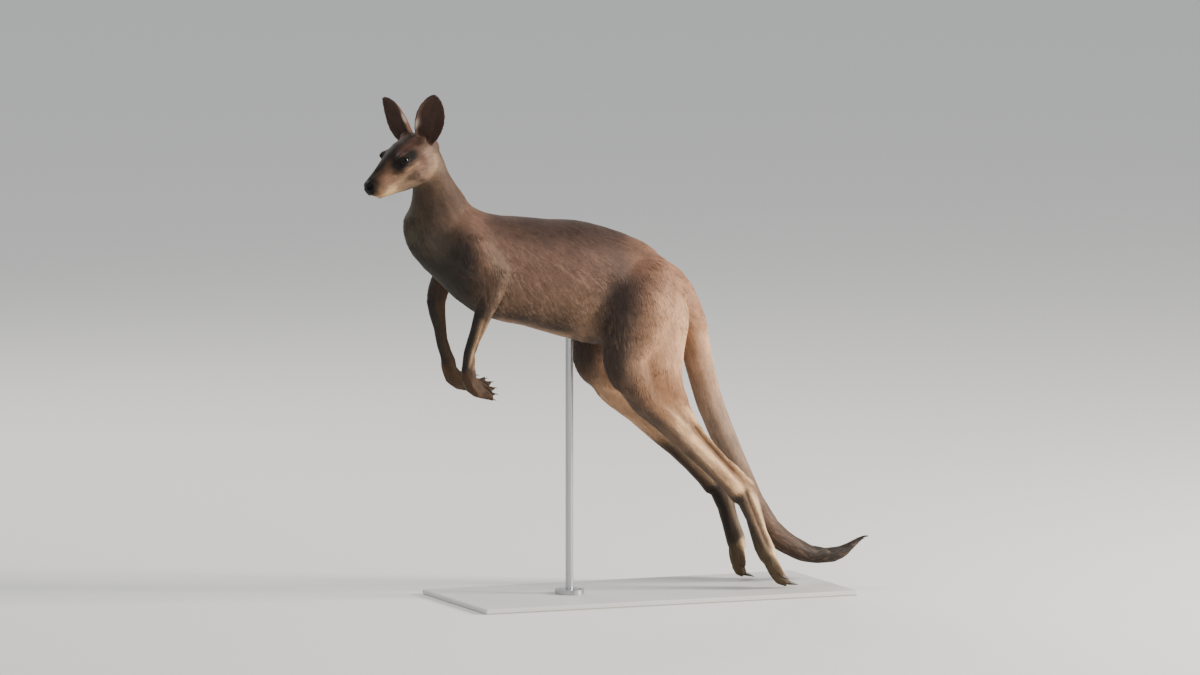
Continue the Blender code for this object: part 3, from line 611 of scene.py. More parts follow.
def with_lids(places):
    """Opens the slit, thickens its rims and folds the skin over them."""
    places = places.copy()
    for side in SIDES:
        ahead, upward, outward, away = eye_coordinates(places, side)
        close = (away < NEAR_EYE) & (outward > EYE_BACK)
        gap = lid_gap(ahead, upward)
        inside = step(-gap, LID_EDGE * LID_CUT, LID_EDGE)
        way = (places - eye_places[side]) / np.maximum(away, LEAST)[:, None]
        reach = np.maximum(away, eye_radius + LID_THICKNESS)
        for at, width, above, below in LID_FORMS:
            reach = reach + hump(gap - at, width) * np.where(upward > 0, above, below)
        reach = reach * (1 - inside) + (eye_radius - SUNK) * inside
        blend = (step(NEAR_EYE - away, 0.0, EYE_BLEND) * close)[:, None]
        places += (eye_places[side] + way * reach[:, None] - places) * blend
    return places


def in_half_head(places):
    """Forward, sideways and upward distances in the head, the same on both sides."""
    ahead, left, up = in_head(places).T
    return np.stack((ahead, np.abs(left), up), axis=1)


def face_lift(places):
    """How far the skin of the face rises along its normal."""
    here, lift = in_half_head(places), np.zeros(len(places))
    for route, width, height in FACE_FORMS:
        lift += hump(to_route(here, route)[0], width) * height
    return lift


def with_nostrils(places):
    """Sinks a comma on each side of the nose towards the head."""
    best = to_route(in_half_head(places), NOSTRIL)[0]
    at, width, height = NOSTRIL_RIM
    sink = hump(best, NOSTRIL_WIDTH) * NOSTRIL_DEPTH - hump(best - at, width) * height
    side = np.sign(in_head(places)[:, 1])[:, None]
    inward = -(head_ahead * NOSTRIL_IN)[None] - side * head_left[None] * NOSTRIL_SIDE
    return places + inward * sink[:, None]


form.vertices.foreach_set("co", points.astype(np.float32).ravel())
fine = bmesh.new()
fine.from_mesh(form)
fine_here = (from_eyes(points) < EYE_FINE) | (in_head(points)[:, 0] > NOSE_FINE)
fine.verts.ensure_lookup_table()
split = [e for e in fine.edges if fine_here[e.verts[0].index] and fine_here[e.verts[1].index]]
bmesh.ops.subdivide_edges(fine, edges=split, cuts=1, use_grid_fill=True, smooth=FINE_ROUND)
bmesh.ops.triangulate(fine, faces=[f for f in fine.faces if len(f.verts) > 3])
fine.to_mesh(form)
fine.free()
points, edges, faces = arrays_of(form)
owner = regions_at(points)

on_face = on_nodes(("head", "nose"))
normals = facing(points, faces)
points = points + normals * (face_lift(points) * on_face)[:, None]
points = np.where(on_face[:, None], with_nostrils(points), points)
points = with_lids(points)
points = relaxed(points, edges, FACE_ROUNDS, FACE_PULL * on_face)


# ---------------------------------------------------------------- skin: thinned and unwrapped
# The face, ears and paws keep the fine mesh and the body carries a coarser one. The hide is
# then slit wherever it turns sharply and laid out flat.

SKIN_SHARE = 0.16
# How freely the mesh is thinned: 0 keeps every edge, and the body is thinned the most.
THINNING = {
    "head": 0.10, "nose": 0.0, "ear": 0.30, "hand": 0.34, "toes": 0.34,
    "foot": 0.42, "forearm": 0.50, "shank": 0.50, "tail_tip": 0.48,
}
BODY_THINNING, THINNING_STEP, THINNING_ROUNDS = 0.66, 0.02, 8
EYE_KEPT, NOSE_KEPT = (EYE_FINE * 0.75, EYE_FINE * 1.1), (NOSE_FINE, NOSE_FINE + 0.008)
CHART_ANGLE, CHART_GAP = math.radians(60.0), 0.0005

free = np.array([THINNING.get(region_of(node), BODY_THINNING) for node in HIDE])
free = relaxed(free[owner], edges, THINNING_ROUNDS) * step(from_eyes(points), *EYE_KEPT)
free = free * (1 - step(in_head(points)[:, 0], *NOSE_KEPT))
free = np.round(free / THINNING_STEP).astype(int)
form.vertices.foreach_set("co", points.astype(np.float32).ravel())
form.update()
group = skin.vertex_groups.new(name="free")
for level in np.unique(free):
    group.add(np.nonzero(free == level)[0].tolist(), float(level) * THINNING_STEP, "REPLACE")
thin = skin.modifiers.new("thin", "DECIMATE")
thin.vertex_group = "free"
thin.vertex_group_factor = 1.0
thin.ratio = SKIN_SHARE
skin_mesh = made_plain(skin, "skin")
skin.vertex_groups.clear()
skin_mesh.shade_smooth()
points, edges, faces = arrays_of(skin_mesh)
normals = facing(points, faces)
owner = regions_at(points)
region_names = np.array([region_of(node) for node in HIDE])[owner]

skin_mesh.uv_layers.new(name="OFBake")
bpy.context.view_layer.objects.active = skin
skin.select_set(True)
bpy.ops.object.mode_set(mode="EDIT")
bpy.ops.mesh.select_all(action="SELECT")
bpy.ops.uv.smart_project(
    angle_limit=CHART_ANGLE, island_margin=CHART_GAP, margin_method="ADD"
)
bpy.ops.object.mode_set(mode="OBJECT")


# ---------------------------------------------------------------- skin: lie of the coat
# Hair lies from nose to tail tip and down each limb, and on the flanks it also slopes down.
# Measured along the lie and across it, the skin carries the streaks of the undercoat.

DOWN_SLOPE = {"chest": 0.70, "belly": 0.75, "rump": 0.65, "thigh": 0.25}
LOW_FLANK, LOW_SLOPE, NECK_BACK_SLOPE = (0.66, 0.78), 1.0, 0.45
CHEEK_BEHIND, CHEEK_BLEND, CHEEK_SLOPE = 0.12, 0.05, -0.35
# On the flanks the streaks hang down and back, as the hair does.
STREAK_FALL = {"chest": 0.9, "belly": 1.2}
STREAK_SHARE = 0.13
LIE_ROUNDS, STREAK_ROUNDS = 30, 10
# The far ends of the foot, the hand and the tail, and the root of the ear.
TOES_WAY, HAND_WAY, TAIL_WAY = (0.6, 0, -0.8), (0.7, 0, -0.7), (1, 0, 0)
EAR_AHEAD, EAR_ASIDE, EAR_UP = 0.02, 0.03, 0.03


def flattened(ways):
    """Unit directions laid along the skin."""
    return unit(ways - normals * np.einsum("ij,ij->i", ways, normals)[:, None])


# Where the coat of each node starts, and the joint that its hair runs towards.
trunk_joints = ("nape", "withers", "waist", "loin") + TAIL
BONES = {"head": (nose_place, nose_place - head_ahead), "nose": (nose_place, head_back)}
for node, start, end in zip((TRUNK + TAIL)[1:-1], trunk_joints[:-1], trunk_joints[1:]):
    BONES[node] = (JOINTS[start], JOINTS[end])
BONES["tail_tip"] = (JOINTS["tail_tip"], tip_of("tail_tip", TAIL_WAY))
for side in SIDES:
    for limbs, way in ((LEG, TOES_WAY), (ARM, HAND_WAY)):
        stops = [JOINTS[upper, lower, side] for upper, lower in zip(limbs[:-1], limbs[1:])]
        stops.insert(0, middle(f"{limbs[0]}_{side}") * 2 - stops[0])
        stops.append(tip_of(f"{limbs[-1]}_{side}", way))
        for limb, start, end in zip(limbs, stops[:-1], stops[1:]):
            BONES[f"{limb}_{side}"] = (start, end)
    root = from_head(EAR_AHEAD, EAR_ASIDE * SIDES[side], EAR_UP)
    BONES[f"ear_{side}"] = (root, tip_of(f"ear_{side}", head_up))

starts, ends = (np.array([BONES[node][k] for node in HIDE]) for k in (0, 1))
axes = unit(ends - starts)
lie = axes[owner].copy()
outward = np.clip(np.abs(normals[:, 1]), 0, 1)
for region, slope in DOWN_SLOPE.items():
    lie[:, 2] -= slope * outward * (region_names == region)
low = 1 - step(points[:, 2], *LOW_FLANK)
lie[:, 2] -= LOW_SLOPE * outward * low * np.isin(region_names, ("chest", "belly"))
lie[:, 0] += NECK_BACK_SLOPE * outward * (region_names == "neck")
cheek = (region_names == "head") * step(CHEEK_BEHIND - in_head(points)[:, 0], 0.0, CHEEK_BLEND)
lie += head_up[None] * (CHEEK_SLOPE * cheek * outward)[:, None]
lie = flattened(unit(relaxed(unit(lie), edges, LIE_ROUNDS)))

# Streaks run on from one node into the next.
FOLLOWS = dict(zip((TRUNK + TAIL)[1:], TRUNK + TAIL))
for side in SIDES:
    for limbs in (LEG, ARM):
        for upper, lower in zip(limbs[:-1], limbs[1:]):
            FOLLOWS[f"{lower}_{side}"] = f"{upper}_{side}"
fall = [(0.0, 0.0, STREAK_FALL.get(region_of(node), 0.0)) for node in HIDE]
streak_axes = unit(axes - np.array(fall))
offsets = {}
for node in HIDE:
    above = FOLLOWS.get(node)
    offsets[node] = np.zeros(3)
    if above:
        run, way = BONES[above][1] - BONES[above][0], streak_axes[HIDE.index(above)]
        offsets[node] = offsets[above] + run - way * (run @ way) * (1 - STREAK_SHARE)
reach = points - starts[owner]
along = np.einsum("ij,ij->i", reach, streak_axes[owner])
comb = reach - streak_axes[owner] * (along * (1 - STREAK_SHARE))[:, None]
comb += np.array([offsets[node] for node in HIDE])[owner]
comb = relaxed(comb, edges, STREAK_ROUNDS)


# ---------------------------------------------------------------- skin: markings
# A grey-brown coat, darkest along the back, breast and belly, and warm on the shoulder and
# thigh. The shins, feet, cheeks and lip are pale, the paws dark, and the tail ends in black.
# Part of this is painted light from a low lamp behind and to the right: painted shade darkens
# the back, throat, breast, belly, the front of the face, the fronts of the limbs, the hollow
# before the thigh and the cup of each ear, and painted light brightens the thigh's rear edge
# and the far shin.

COATS = {
    "nape": (70, 49, 34), "back": (46, 30, 24), "flank": (87, 61, 49),
    "low_flank": (90, 67, 51), "belly": (26, 21, 18), "rump": (137, 99, 74),
    "hip": (103, 72, 56), "throat": (66, 60, 49), "breast": (29, 24, 20),
    "neck_side": (59, 43, 32), "shoulder": (108, 79, 62), "fold": (44, 34, 29),
    "fringe": (146, 114, 90), "thigh": (170, 127, 95), "ham": (189, 147, 112),
    "low_thigh": (122, 84, 56), "knee": (76, 60, 49), "shin": (207, 166, 123),
    "shin_front": (83, 65, 51), "groove": (106, 75, 52), "instep": (222, 190, 150),
    "instep_front": (50, 41, 34), "toe": (75, 63, 45), "arm": (82, 62, 47),
    "arm_front": (33, 28, 24), "wrist": (66, 48, 34), "finger": (64, 46, 31),
    "tail": (132, 109, 91), "tail_low": (80, 60, 48), "tail_dark": (35, 28, 23),
    "tail_black": (21, 17, 15), "forehead": (30, 24, 24), "bridge": (22, 18, 16),
    "brow": (27, 19, 14), "temple": (96, 68, 55), "cheek": (116, 91, 75), "muzzle": (98, 70, 52),
    "lip": (176, 143, 104), "jaw": (122, 97, 75), "eye_patch": (16, 13, 12),
    "crown": (51, 44, 41), "poll": (70, 49, 37), "ear_inside": (60, 43, 36),
    "ear_back": (84, 54, 40), "ear_rim": (71, 54, 38), "streak": (150, 120, 97),
    "nose": (12, 12, 13), "dusk": (31, 25, 21), "tendon": (186, 152, 117), "white": (200, 184, 164),
}
COLOUR_FULL, CURVE_TOE, TOE_SLOPE, CURVE_SHIFT, CURVE_POWER = 255, 0.04045, 12.92, 0.055, 2.4
# Stops of the trunk and of the thigh: metres along and up in the side view, and colour.
# The breast, belly, throat and fold stops are painted shade on the sides away from the light, and the
# back stops are partly painted shade.
TRUNK_STOPS = (
    (-0.497, 0.975, "nape"), (-0.475, 0.935, "nape"), (-0.430, 0.905, "hip"),
    (-0.540, 0.940, "neck_side"), (-0.530, 0.885, "neck_side"), (-0.575, 0.940, "throat"),
    (-0.585, 0.880, "throat"), (-0.590, 0.820, "breast"), (-0.550, 0.750, "breast"),
    (-0.490, 0.705, "breast"), (-0.460, 0.860, "shoulder"), (-0.415, 0.825, "shoulder"),
    (-0.530, 0.850, "throat"), (-0.520, 0.800, "breast"), (-0.490, 0.790, "breast"),
    (-0.490, 0.750, "breast"), (-0.380, 0.885, "back"), (-0.280, 0.870, "back"),
    (-0.180, 0.860, "back"), (-0.080, 0.840, "back"), (-0.020, 0.820, "hip"),
    (0.030, 0.795, "rump"), (0.080, 0.740, "rump"), (0.110, 0.660, "rump"),
    (-0.380, 0.800, "flank"), (-0.280, 0.790, "flank"), (-0.180, 0.780, "flank"),
    (-0.125, 0.770, "flank"), (-0.060, 0.790, "hip"), (-0.090, 0.780, "fold"),
    (-0.088, 0.740, "fold"), (-0.098, 0.690, "fold"), (-0.107, 0.640, "fold"),
    (-0.370, 0.725, "low_flank"),
    (-0.280, 0.705, "low_flank"), (-0.190, 0.690, "low_flank"), (-0.140, 0.700, "low_flank"),
    (-0.420, 0.665, "breast"), (-0.330, 0.645, "belly"), (-0.230, 0.625, "belly"),
    (-0.130, 0.600, "belly"), (-0.060, 0.580, "belly"), (0.060, 0.600, "ham"),
    (-0.144, 0.630, "fringe"), (-0.440, 0.885, "flank"), (-0.410, 0.905, "flank"),
)
# The fold stops are painted shade in the hollow before the thigh, and the ham stops on its rear edge
# are partly painted light.
THIGH_STOPS = (
    (-0.020, 0.810, "hip"), (-0.060, 0.780, "hip"), (0.050, 0.740, "rump"),
    (0.000, 0.690, "thigh"), (0.085, 0.640, "ham"), (-0.015, 0.640, "thigh"),
    (-0.088, 0.740, "fold"), (-0.098, 0.690, "fold"), (-0.107, 0.640, "fold"),
    (-0.110, 0.590, "fold"), (-0.105, 0.550, "fold"), (-0.062, 0.730, "fold"),
    (-0.068, 0.670, "fold"), (-0.076, 0.610, "fold"), (-0.020, 0.730, "hip"),
    (-0.026, 0.670, "hip"), (-0.034, 0.620, "hip"),
    (-0.030, 0.580, "thigh"), (0.010, 0.590, "thigh"), (0.060, 0.560, "ham"),
    (-0.080, 0.500, "knee"), (-0.030, 0.520, "low_thigh"), (0.030, 0.500, "low_thigh"),
    (-0.060, 0.460, "knee"), (0.000, 0.460, "low_thigh"), (0.040, 0.470, "low_thigh"),
)
# Lines that run down a limb: metres ahead of its middle, and colour. The dark front lines and
# the groove lines are painted shade, and the pale lines behind them are partly painted light.
LIMB_STRIPES = {
    "shank": ((0.028, "shin_front"), (0.005, "shin"), (-0.014, "groove"), (-0.030, "shin")),
    "foot": (
        (0.022, "instep_front"), (0.010, "instep_front"), (0.002, "instep_front"),
        (-0.006, "groove"), (-0.014, "instep"),
    ),
}
LINE_SHARES = {"shank": (0.34, 0.50, 0.66, 0.82, 0.98), "foot": (0.0, 0.2, 0.4, 0.6, 0.8)}
# Shares of the way from joint to joint, metres ahead of that line, and colours.
LIMB_STOPS = {
    "shank": (
        (0.02, 0.050, "knee"), (0.12, 0.042, "knee"), (0.05, 0.012, "low_thigh"),
        (0.05, -0.030, "low_thigh"), (0.18, 0.008, "low_thigh"), (0.20, -0.040, "low_thigh"),
        (0.97, 0.010, "shin"),
    ),
    "foot": (
        (0.95, 0.016, "toe"), (0.05, -0.022, "groove"), (0.50, -0.022, "groove"),
        (1.00, 0.000, "arm"),
    ),
    "toes": ((0.00, -0.01, "instep"), (0.10, 0.012, "toe"), (0.45, 0.0, "wrist"), (1.0, 0.0, "toe")),
    # The dark front of each arm is painted shade.
    "upper_arm": (
        (0.25, 0.000, "shoulder"), (0.60, -0.020, "arm"), (0.95, -0.020, "arm"),
        (0.30, 0.036, "arm_front"), (0.55, 0.024, "arm_front"), (0.95, 0.017, "arm_front"),
    ),
    "forearm": (
        (0.10, 0.016, "arm_front"), (0.50, 0.013, "arm_front"), (0.90, 0.012, "arm_front"),
        (0.10, -0.016, "arm"), (0.50, -0.012, "arm"), (0.90, -0.010, "wrist"),
        (0.20, 0.002, "wrist"), (0.50, 0.001, "wrist"), (0.80, 0.000, "wrist"),
    ),
    "hand": ((0.10, 0.0, "wrist"), (0.50, 0.0, "finger"), (1.00, 0.0, "finger")),
}
# The colours along the top and along the underside, at the start and the end of each length.
TAIL_STOPS = {
    "tail_root": (("rump", "ham"), ("tail", "tail")),
    "tail_middle": (("tail", "tail"), ("tail_low", "tail_low")),
    "tail_lower": (("tail_low", "tail_low"), ("tail_dark", "tail_dark")),
    "tail_tip": (("tail_dark", "tail_dark"), ("tail_black", "tail_dark")),
}
# Places in the head: metres ahead, aside and up.
# The dark forehead, bridge and brow stops on the front of the face are partly painted shade.
HEAD_STOPS = (
    (0.190, 0.000, 0.004, "bridge"), (0.160, 0.000, 0.014, "bridge"),
    (0.130, 0.000, 0.026, "forehead"), (0.100, 0.000, 0.040, "forehead"),
    (0.065, 0.000, 0.052, "crown"), (0.030, 0.000, 0.056, "crown"), (0.000, 0.000, 0.040, "poll"),
    (-0.020, 0.000, 0.010, "nape"), (0.102, 0.032, 0.024, "temple"), (0.085, 0.036, 0.028, "temple"),
    (0.118, 0.026, 0.022, "brow"), (0.060, 0.036, 0.030, "temple"), (0.140, 0.018, 0.010, "muzzle"),
    (0.165, 0.016, -0.006, "muzzle"), (0.150, 0.022, -0.018, "muzzle"),
    (0.185, 0.012, -0.012, "brow"), (0.180, 0.014, -0.026, "muzzle"),
    (0.120, 0.030, -0.012, "muzzle"), (0.100, 0.042, -0.016, "muzzle"),
    (0.070, 0.046, -0.014, "temple"), (0.045, 0.044, -0.006, "cheek"),
    (0.030, 0.044, -0.030, "jaw"), (0.085, 0.040, -0.036, "cheek"), (0.120, 0.028, -0.036, "jaw"),
    (0.060, 0.040, -0.050, "jaw"), (0.020, 0.042, -0.020, "poll"), (0.045, 0.040, 0.015, "poll"),
    (0.110, 0.014, 0.034, "forehead"), (0.080, 0.016, 0.048, "crown"),
    (0.145, 0.010, 0.018, "forehead"), (0.180, 0.008, -0.046, "lip"), (0.155, 0.016, -0.046, "lip"),
    (0.130, 0.018, -0.050, "jaw"), (0.150, 0.000, -0.056, "jaw"), (0.110, 0.000, -0.060, "throat"),
    (0.060, 0.000, -0.062, "throat"), (0.010, 0.040, 0.010, "poll"),
    (0.000, 0.036, -0.030, "neck_side"),
)

TRUNK_SOFTNESS, FINE_SOFTNESS, LIMB_STRETCH = 0.022, 0.004, 0.22
TAIL_OVER, TAIL_LEAN = (-0.6, 0.6), 0.6
COAT_ROUNDS, TRUNK_ROUNDS, TRUNK_EDGE = 4, 16, 4
# Painted shade darkens the inner sides of shin and foot from a share of the way down, and a
# painted highlight lights the far shin warm above that.
PAINTED_SHADE_SHARE, PAINTED_SHADE_FROM, PAINTED_SHADE_FACE = 0.80, {"shank": (0.42, 0.62), "foot": (-0.5, 0.0)}, (-0.25, 0.35)
PAINTED_LIGHT_SHARE, PAINTED_LIGHT_TO = 0.6, (0.38, 0.54)
CORD_WIDEST, CORD_THIN, CORD_SHARE, GROOVE_SHARE, ON_FOOT = 0.008, 0.8, 0.5, 0.62, 0.45
FRINGE = ((-0.390, 0.668), (-0.350, 0.652), (-0.270, 0.628), (-0.179, 0.608), (-0.118, 0.620))
FRINGE_WIDTH, FRINGE_SHARE = 0.0085, 0.8
# A dark patch holds the eye and runs to its corner. It is partly the coat's marking and partly
# painted shade under the brow.
EYE_PATCH, PATCH_WIDTH = ((0.122, 0.032, 0.004), (0.104, 0.044, 0.005), (0.086, 0.046, 0.010)), 0.0172
PATCH_SHARE, PATCH_MOST = 1.3, 0.97
# Share, route, width and colour: a pale streak under the eye, the dark muzzle stripe, the line
# of the mouth and the edge of the nose.
FACE_STROKES = (
    (0.35, ((0.118, 0.034, -0.014), (0.098, 0.043, -0.017), (0.080, 0.047, -0.014)), 0.0035, "lip"),
    (0.55, ((0.128, 0.024, -0.004), (0.150, 0.018, -0.001), (0.170, 0.013, 0.001)), 0.006, "bridge"),
    (0.70, ((0.198, 0.010, -0.034), (0.170, 0.020, -0.041), (0.136, 0.026, -0.043)), 0.0016, "bridge"),
    (0.60, ((0.200, 0.000, -0.020), (0.194, 0.012, -0.022)), 0.0080, "bridge"),
)
LID_DARK, LID_REACH = -0.0022, 0.8
# Each ear is dark behind, with a pale tuft at the front of its opening.
EAR_OPENS = {"left": (0.45, 0.89, 0.0), "right": (0.98, 0.10, 0.0)}
EAR_INSIDE, EAR_RIM_ROUNDS, EAR_RIM_SHARE = (-0.1, 0.25), 4, 0.7
EAR_LEAN, EAR_FRONT = {"left": 0.3, "right": 0.6}, (0.004, 0.018)
EAR_TUFT_FROM, EAR_TUFT_TO, EAR_TUFT_SHARE = (0.12, 0.22), (0.30, 0.46), 0.26
# Pale flecks in the side view: metres along and up, width and amount.
FLECKED = (
    (-0.380, 0.710, 0.050, 0.8), (-0.280, 0.690, 0.055, 0.8), (-0.180, 0.670, 0.055, 0.8),
    (-0.430, 0.790, 0.045, 0.4), (-0.090, 0.620, 0.040, 0.5), (0.040, 0.700, 0.080, 0.35),
    (-0.330, 0.760, 0.080, 0.45), (-0.200, 0.750, 0.080, 0.45), (0.040, 0.600, 0.070, 0.30),
)
TAIL_FLECKS, CHEEK, CHEEK_WIDTH = 0.30, ((0.110, 0.036, -0.025), (0.050, 0.046, -0.025)), 0.030


def colour(name):
    """A named coat colour as linear light, by the standard curve for display colours."""
    share = np.array(COATS[name]) / COLOUR_FULL
    bent = ((share + CURVE_SHIFT) / (1 + CURVE_SHIFT)) ** CURVE_POWER
    return np.where(share < CURVE_TOE, share / TOE_SLOPE, bent)


def laid(coat, amount, name):
    """A coat with a named colour laid over it, by an amount from 0 to 1 at each vertex."""
    return coat * (1 - amount[:, None]) + colour(name) * amount[:, None]


def painted(places, stops, softness):
    """Blends each place between named stops, nearest first. A stop is its place and colour."""
    total, weight = np.zeros((len(places), 3)), np.zeros(len(places))
    for *place, name in stops:
        away = ((places - np.array(place)) ** 2).sum(axis=1)
        near = 1 / (away + softness**2) ** 2
        total += near[:, None] * colour(name)
        weight += near
    return total / weight[:, None]


def run_along(places, node):
    """Share of the way along a node's bone."""
    start, end = BONES[node]
    return (places - start) @ (end - start) / ((end - start) @ (end - start))


def in_ear(side, ways):
    """1 where an ear's skin faces its opening."""
    return step(ways @ (np.array(EAR_OPENS[side]) @ HEAD_AXES), *EAR_INSIDE)


coat = np.zeros((len(points), 3))
level = points[:, (0, 2)]
for number, node in enumerate(HIDE):
    here = owner == number
    region, side = region_of(node), node.rpartition("_")[2]
    if region in TAIL_STOPS:
        share = np.clip(run_along(points[here], node), 0, 1)
        (top_one, low_one), (top_two, low_two) = TAIL_STOPS[region]
        over = step(normals[here, 2] - normals[here, 0] * TAIL_LEAN, *TAIL_OVER)[:, None]
        high, low = laid(colour(top_one), share, top_two), laid(colour(low_one), share, low_two)
        coat[here] = high * over + low * (1 - over)
    elif region in LIMB_STOPS:
        start, end = BONES[node]
        reach = points[here] - start
        stretch = np.linalg.norm(end - start) * LIMB_STRETCH
        limb_ahead = along_limb(start, end, 0.0, 1.0) - start
        flat = np.stack((reach @ axes[number] * LIMB_STRETCH, reach @ limb_ahead), axis=1)
        stops = LIMB_STOPS[region] + tuple(
            (share, aside, name)
            for share in LINE_SHARES.get(region, ())
            for aside, name in LIMB_STRIPES[region]
        )
        stops = [(share * stretch, aside, name) for share, aside, name in stops]
        coat[here] = painted(flat, stops, FINE_SOFTNESS)
    elif region == "thigh":
        coat[here] = painted(level[here], THIGH_STOPS, TRUNK_SOFTNESS)
    # The colour inside each ear is partly its bare skin and partly painted shade in the cup.
    elif region == "ear":
        coat[here] = laid(colour("ear_back"), in_ear(side, normals[here]), "ear_inside")
    elif region in ("head", "nose"):
        coat[here] = painted(in_half_head(points[here]), HEAD_STOPS, FINE_SOFTNESS)
    else:
        coat[here] = painted(level[here], TRUNK_STOPS, TRUNK_SOFTNESS)
# Painted shade on the inner faces of shin and foot, which face away from the light.
for node in HIDE:
    if region_of(node) in PAINTED_SHADE_FROM:
        inner = step(normals[:, 1] * SIDES[node.rpartition("_")[2]], *PAINTED_SHADE_FACE)
        inner = inner * step(run_along(points, node), *PAINTED_SHADE_FROM[region_of(node)])
        coat = laid(coat, inner * on_nodes([node]) * PAINTED_SHADE_SHARE, "dusk")
# A painted highlight: the upper far shin is lit warm with the ham colour.
painted_light = PAINTED_LIGHT_SHARE * (1 - step(run_along(points, "shank_right"), *PAINTED_LIGHT_TO))
coat = laid(coat, painted_light * on_nodes(["shank_right"]), "ham")
on_trunk = np.isin(region_names, ("neck", "chest", "belly", "rump", "thigh", "upper_arm"))
coat = relaxed(coat, edges, COAT_ROUNDS)
coat = relaxed(coat, edges, TRUNK_ROUNDS, 0.5 * relaxed(on_trunk * 1.0, edges, TRUNK_EDGE))

# A painted highlight runs along each tendon as paler hair, and painted shade lies in the grooves
# and between the fingers. A pale ragged line of longer hair hangs along the edge of the belly.
for route, width, height, side, members in cords:
    if width <= CORD_WIDEST:
        line = near_line(points, route, width * CORD_THIN) * on_nodes(members)
        line = line * step(normals[:, 1] * -SIDES[side], *OUTER_FACE)
        line = line * np.where(region_names == "foot", ON_FOOT, 1.0)
        share, name = (CORD_SHARE, "tendon") if height > 0 else (GROOVE_SHARE, "groove")
        coat = laid(coat, line * share, name)
for route, members in finger_gaps:
    line = near_line(points, route, FINGER_GROOVE[0]) * on_nodes(members)
    coat = laid(coat, line * GROOVE_SHARE, "dusk")
hem = near_line(points, [(x, 0.0, z) for x, z in FRINGE], FRINGE_WIDTH)
coat = laid(coat, FRINGE_SHARE * hem * np.isin(region_names, ("chest", "belly")), "fringe")

half_head, on_head = in_half_head(points), region_names == "head"
# The dark eye patch is partly marking and partly painted shade under the brow.
eye_patch = PATCH_SHARE * hump(to_route(half_head, EYE_PATCH)[0], PATCH_WIDTH)
coat = laid(coat, np.clip(eye_patch, 0, PATCH_MOST) * on_head, "eye_patch")
for share, route, width, name in FACE_STROKES:
    coat = laid(coat, share * hump(to_route(half_head, route)[0], width) * on_head, name)
coat = laid(coat, (region_names == "nose") * 1.0, "nose")
for side in SIDES:
    ear, (start, end) = f"ear_{side}", BONES[f"ear_{side}"]
    on_ear, run = on_nodes([ear]), run_along(points, ear)
    inside = relaxed(in_ear(side, normals), edges, EAR_RIM_ROUNDS)
    rim = np.clip(4 * inside * (1 - inside), 0, 1) ** 2
    coat = laid(coat, rim * EAR_RIM_SHARE * on_ear, "ear_rim")
    off = points - start - run[:, None] * (end - start)
    front = step(off @ (head_ahead + head_left * EAR_LEAN[side]), *EAR_FRONT)
    tuft = front * step(run, *EAR_TUFT_FROM) * (1 - step(run, *EAR_TUFT_TO))
    coat = laid(coat, tuft * on_ear * EAR_TUFT_SHARE, "white")
for side in SIDES:
    gap = lid_gap(*eye_coordinates(points, side)[:2])
    near = np.linalg.norm(points - eye_places[side], axis=1) < NEAR_EYE * LID_REACH
    coat = laid(coat, step(-gap, LID_DARK, 0.0) * near * on_head, "nose")

fleck = np.zeros(len(points))
for x, z, width, amount in FLECKED:
    away = np.linalg.norm(level - (x, z), axis=1)
    fleck = np.maximum(fleck, amount * hump(away, width))
fleck *= np.isin(region_names, ("chest", "belly", "rump", "thigh", "upper_arm"))
fleck = np.maximum(fleck, TAIL_FLECKS * np.isin(region_names, TAIL))
fleck = np.maximum(fleck, hump(to_route(half_head, CHEEK)[0], CHEEK_WIDTH) * on_head)
fleck *= 1 - np.clip(eye_patch, 0, 1) * on_head


def stored(mesh, name, values):
    """Keeps one number, vector or colour for each vertex of a mesh."""
    if values.ndim == 1:
        mesh.attributes.new(name, "FLOAT", "POINT").data.foreach_set("value", values.astype("f"))
    elif name == "coat":
        values = np.concatenate((values, np.ones((len(values), 1))), axis=1).astype("f")
        layer = mesh.attributes.new(name, "FLOAT_COLOR", "POINT")
        layer.data.foreach_set("color", values.ravel())
    else:
        layer = mesh.attributes.new(name, "FLOAT_VECTOR", "POINT")
        layer.data.foreach_set("vector", values.astype("f").ravel())


for name, values in (("coat", coat), ("comb", comb), ("fleck", fleck)):
    stored(skin_mesh, name, values)


# ---------------------------------------------------------------- skin: pelt
# Skin and coat share one finish: the laid-down markings, streaked along the lie, flecked with
# pale hairs and broken up by soft patches. On the skin it is also combed in bump.

STREAK_SCALE, LOCK_SCALE, PATCH_SCALE, FLECK_SCALE = 760.0, 95.0, 26.0, 235.0
PELT_ROUGHNESS, PLAIN_STREAK, PLAIN_SHADE = 0.6, 0.3, 1.0
# The stretch of each noise that is used, and what it becomes.
FLECK_RANGE, STREAK_RANGE = (0.49, 0.68, 0.0, 0.62), (0.28, 0.72, -1.0, 1.0)
PATCH_RANGE, LOCK_RANGE = (0.3, 0.7, -0.12, 0.12), (0.32, 0.68, -0.17, 0.17)
SKIN_ROUGHNESS, SKIN_SHINE, SKIN_SHADE, SKIN_BUMP = 0.78, 0.18, 0.98, (0.0012, 0.7)
HAIR_STREAK, SHEEN, SHEEN_TINT = 0.26, 0.05, (0.95, 0.86, 0.76, 1.0)


def node_in(tree, kind, sockets=(), **settings):
    """A new node with its settings. Each named socket takes a value or another node's output."""
    made = tree.nodes.new(kind)
    for name, value in settings.items():
        setattr(made, name, value)
    for name, value in dict(sockets).items():
        if isinstance(value, bpy.types.NodeSocket):
            tree.links.new(value, made.inputs[name])
        else:
            made.inputs[name].default_value = value
    return made


def maths(tree, operation, *values):
    return node_in(tree, "ShaderNodeMath", enumerate(values), operation=operation).outputs[0]


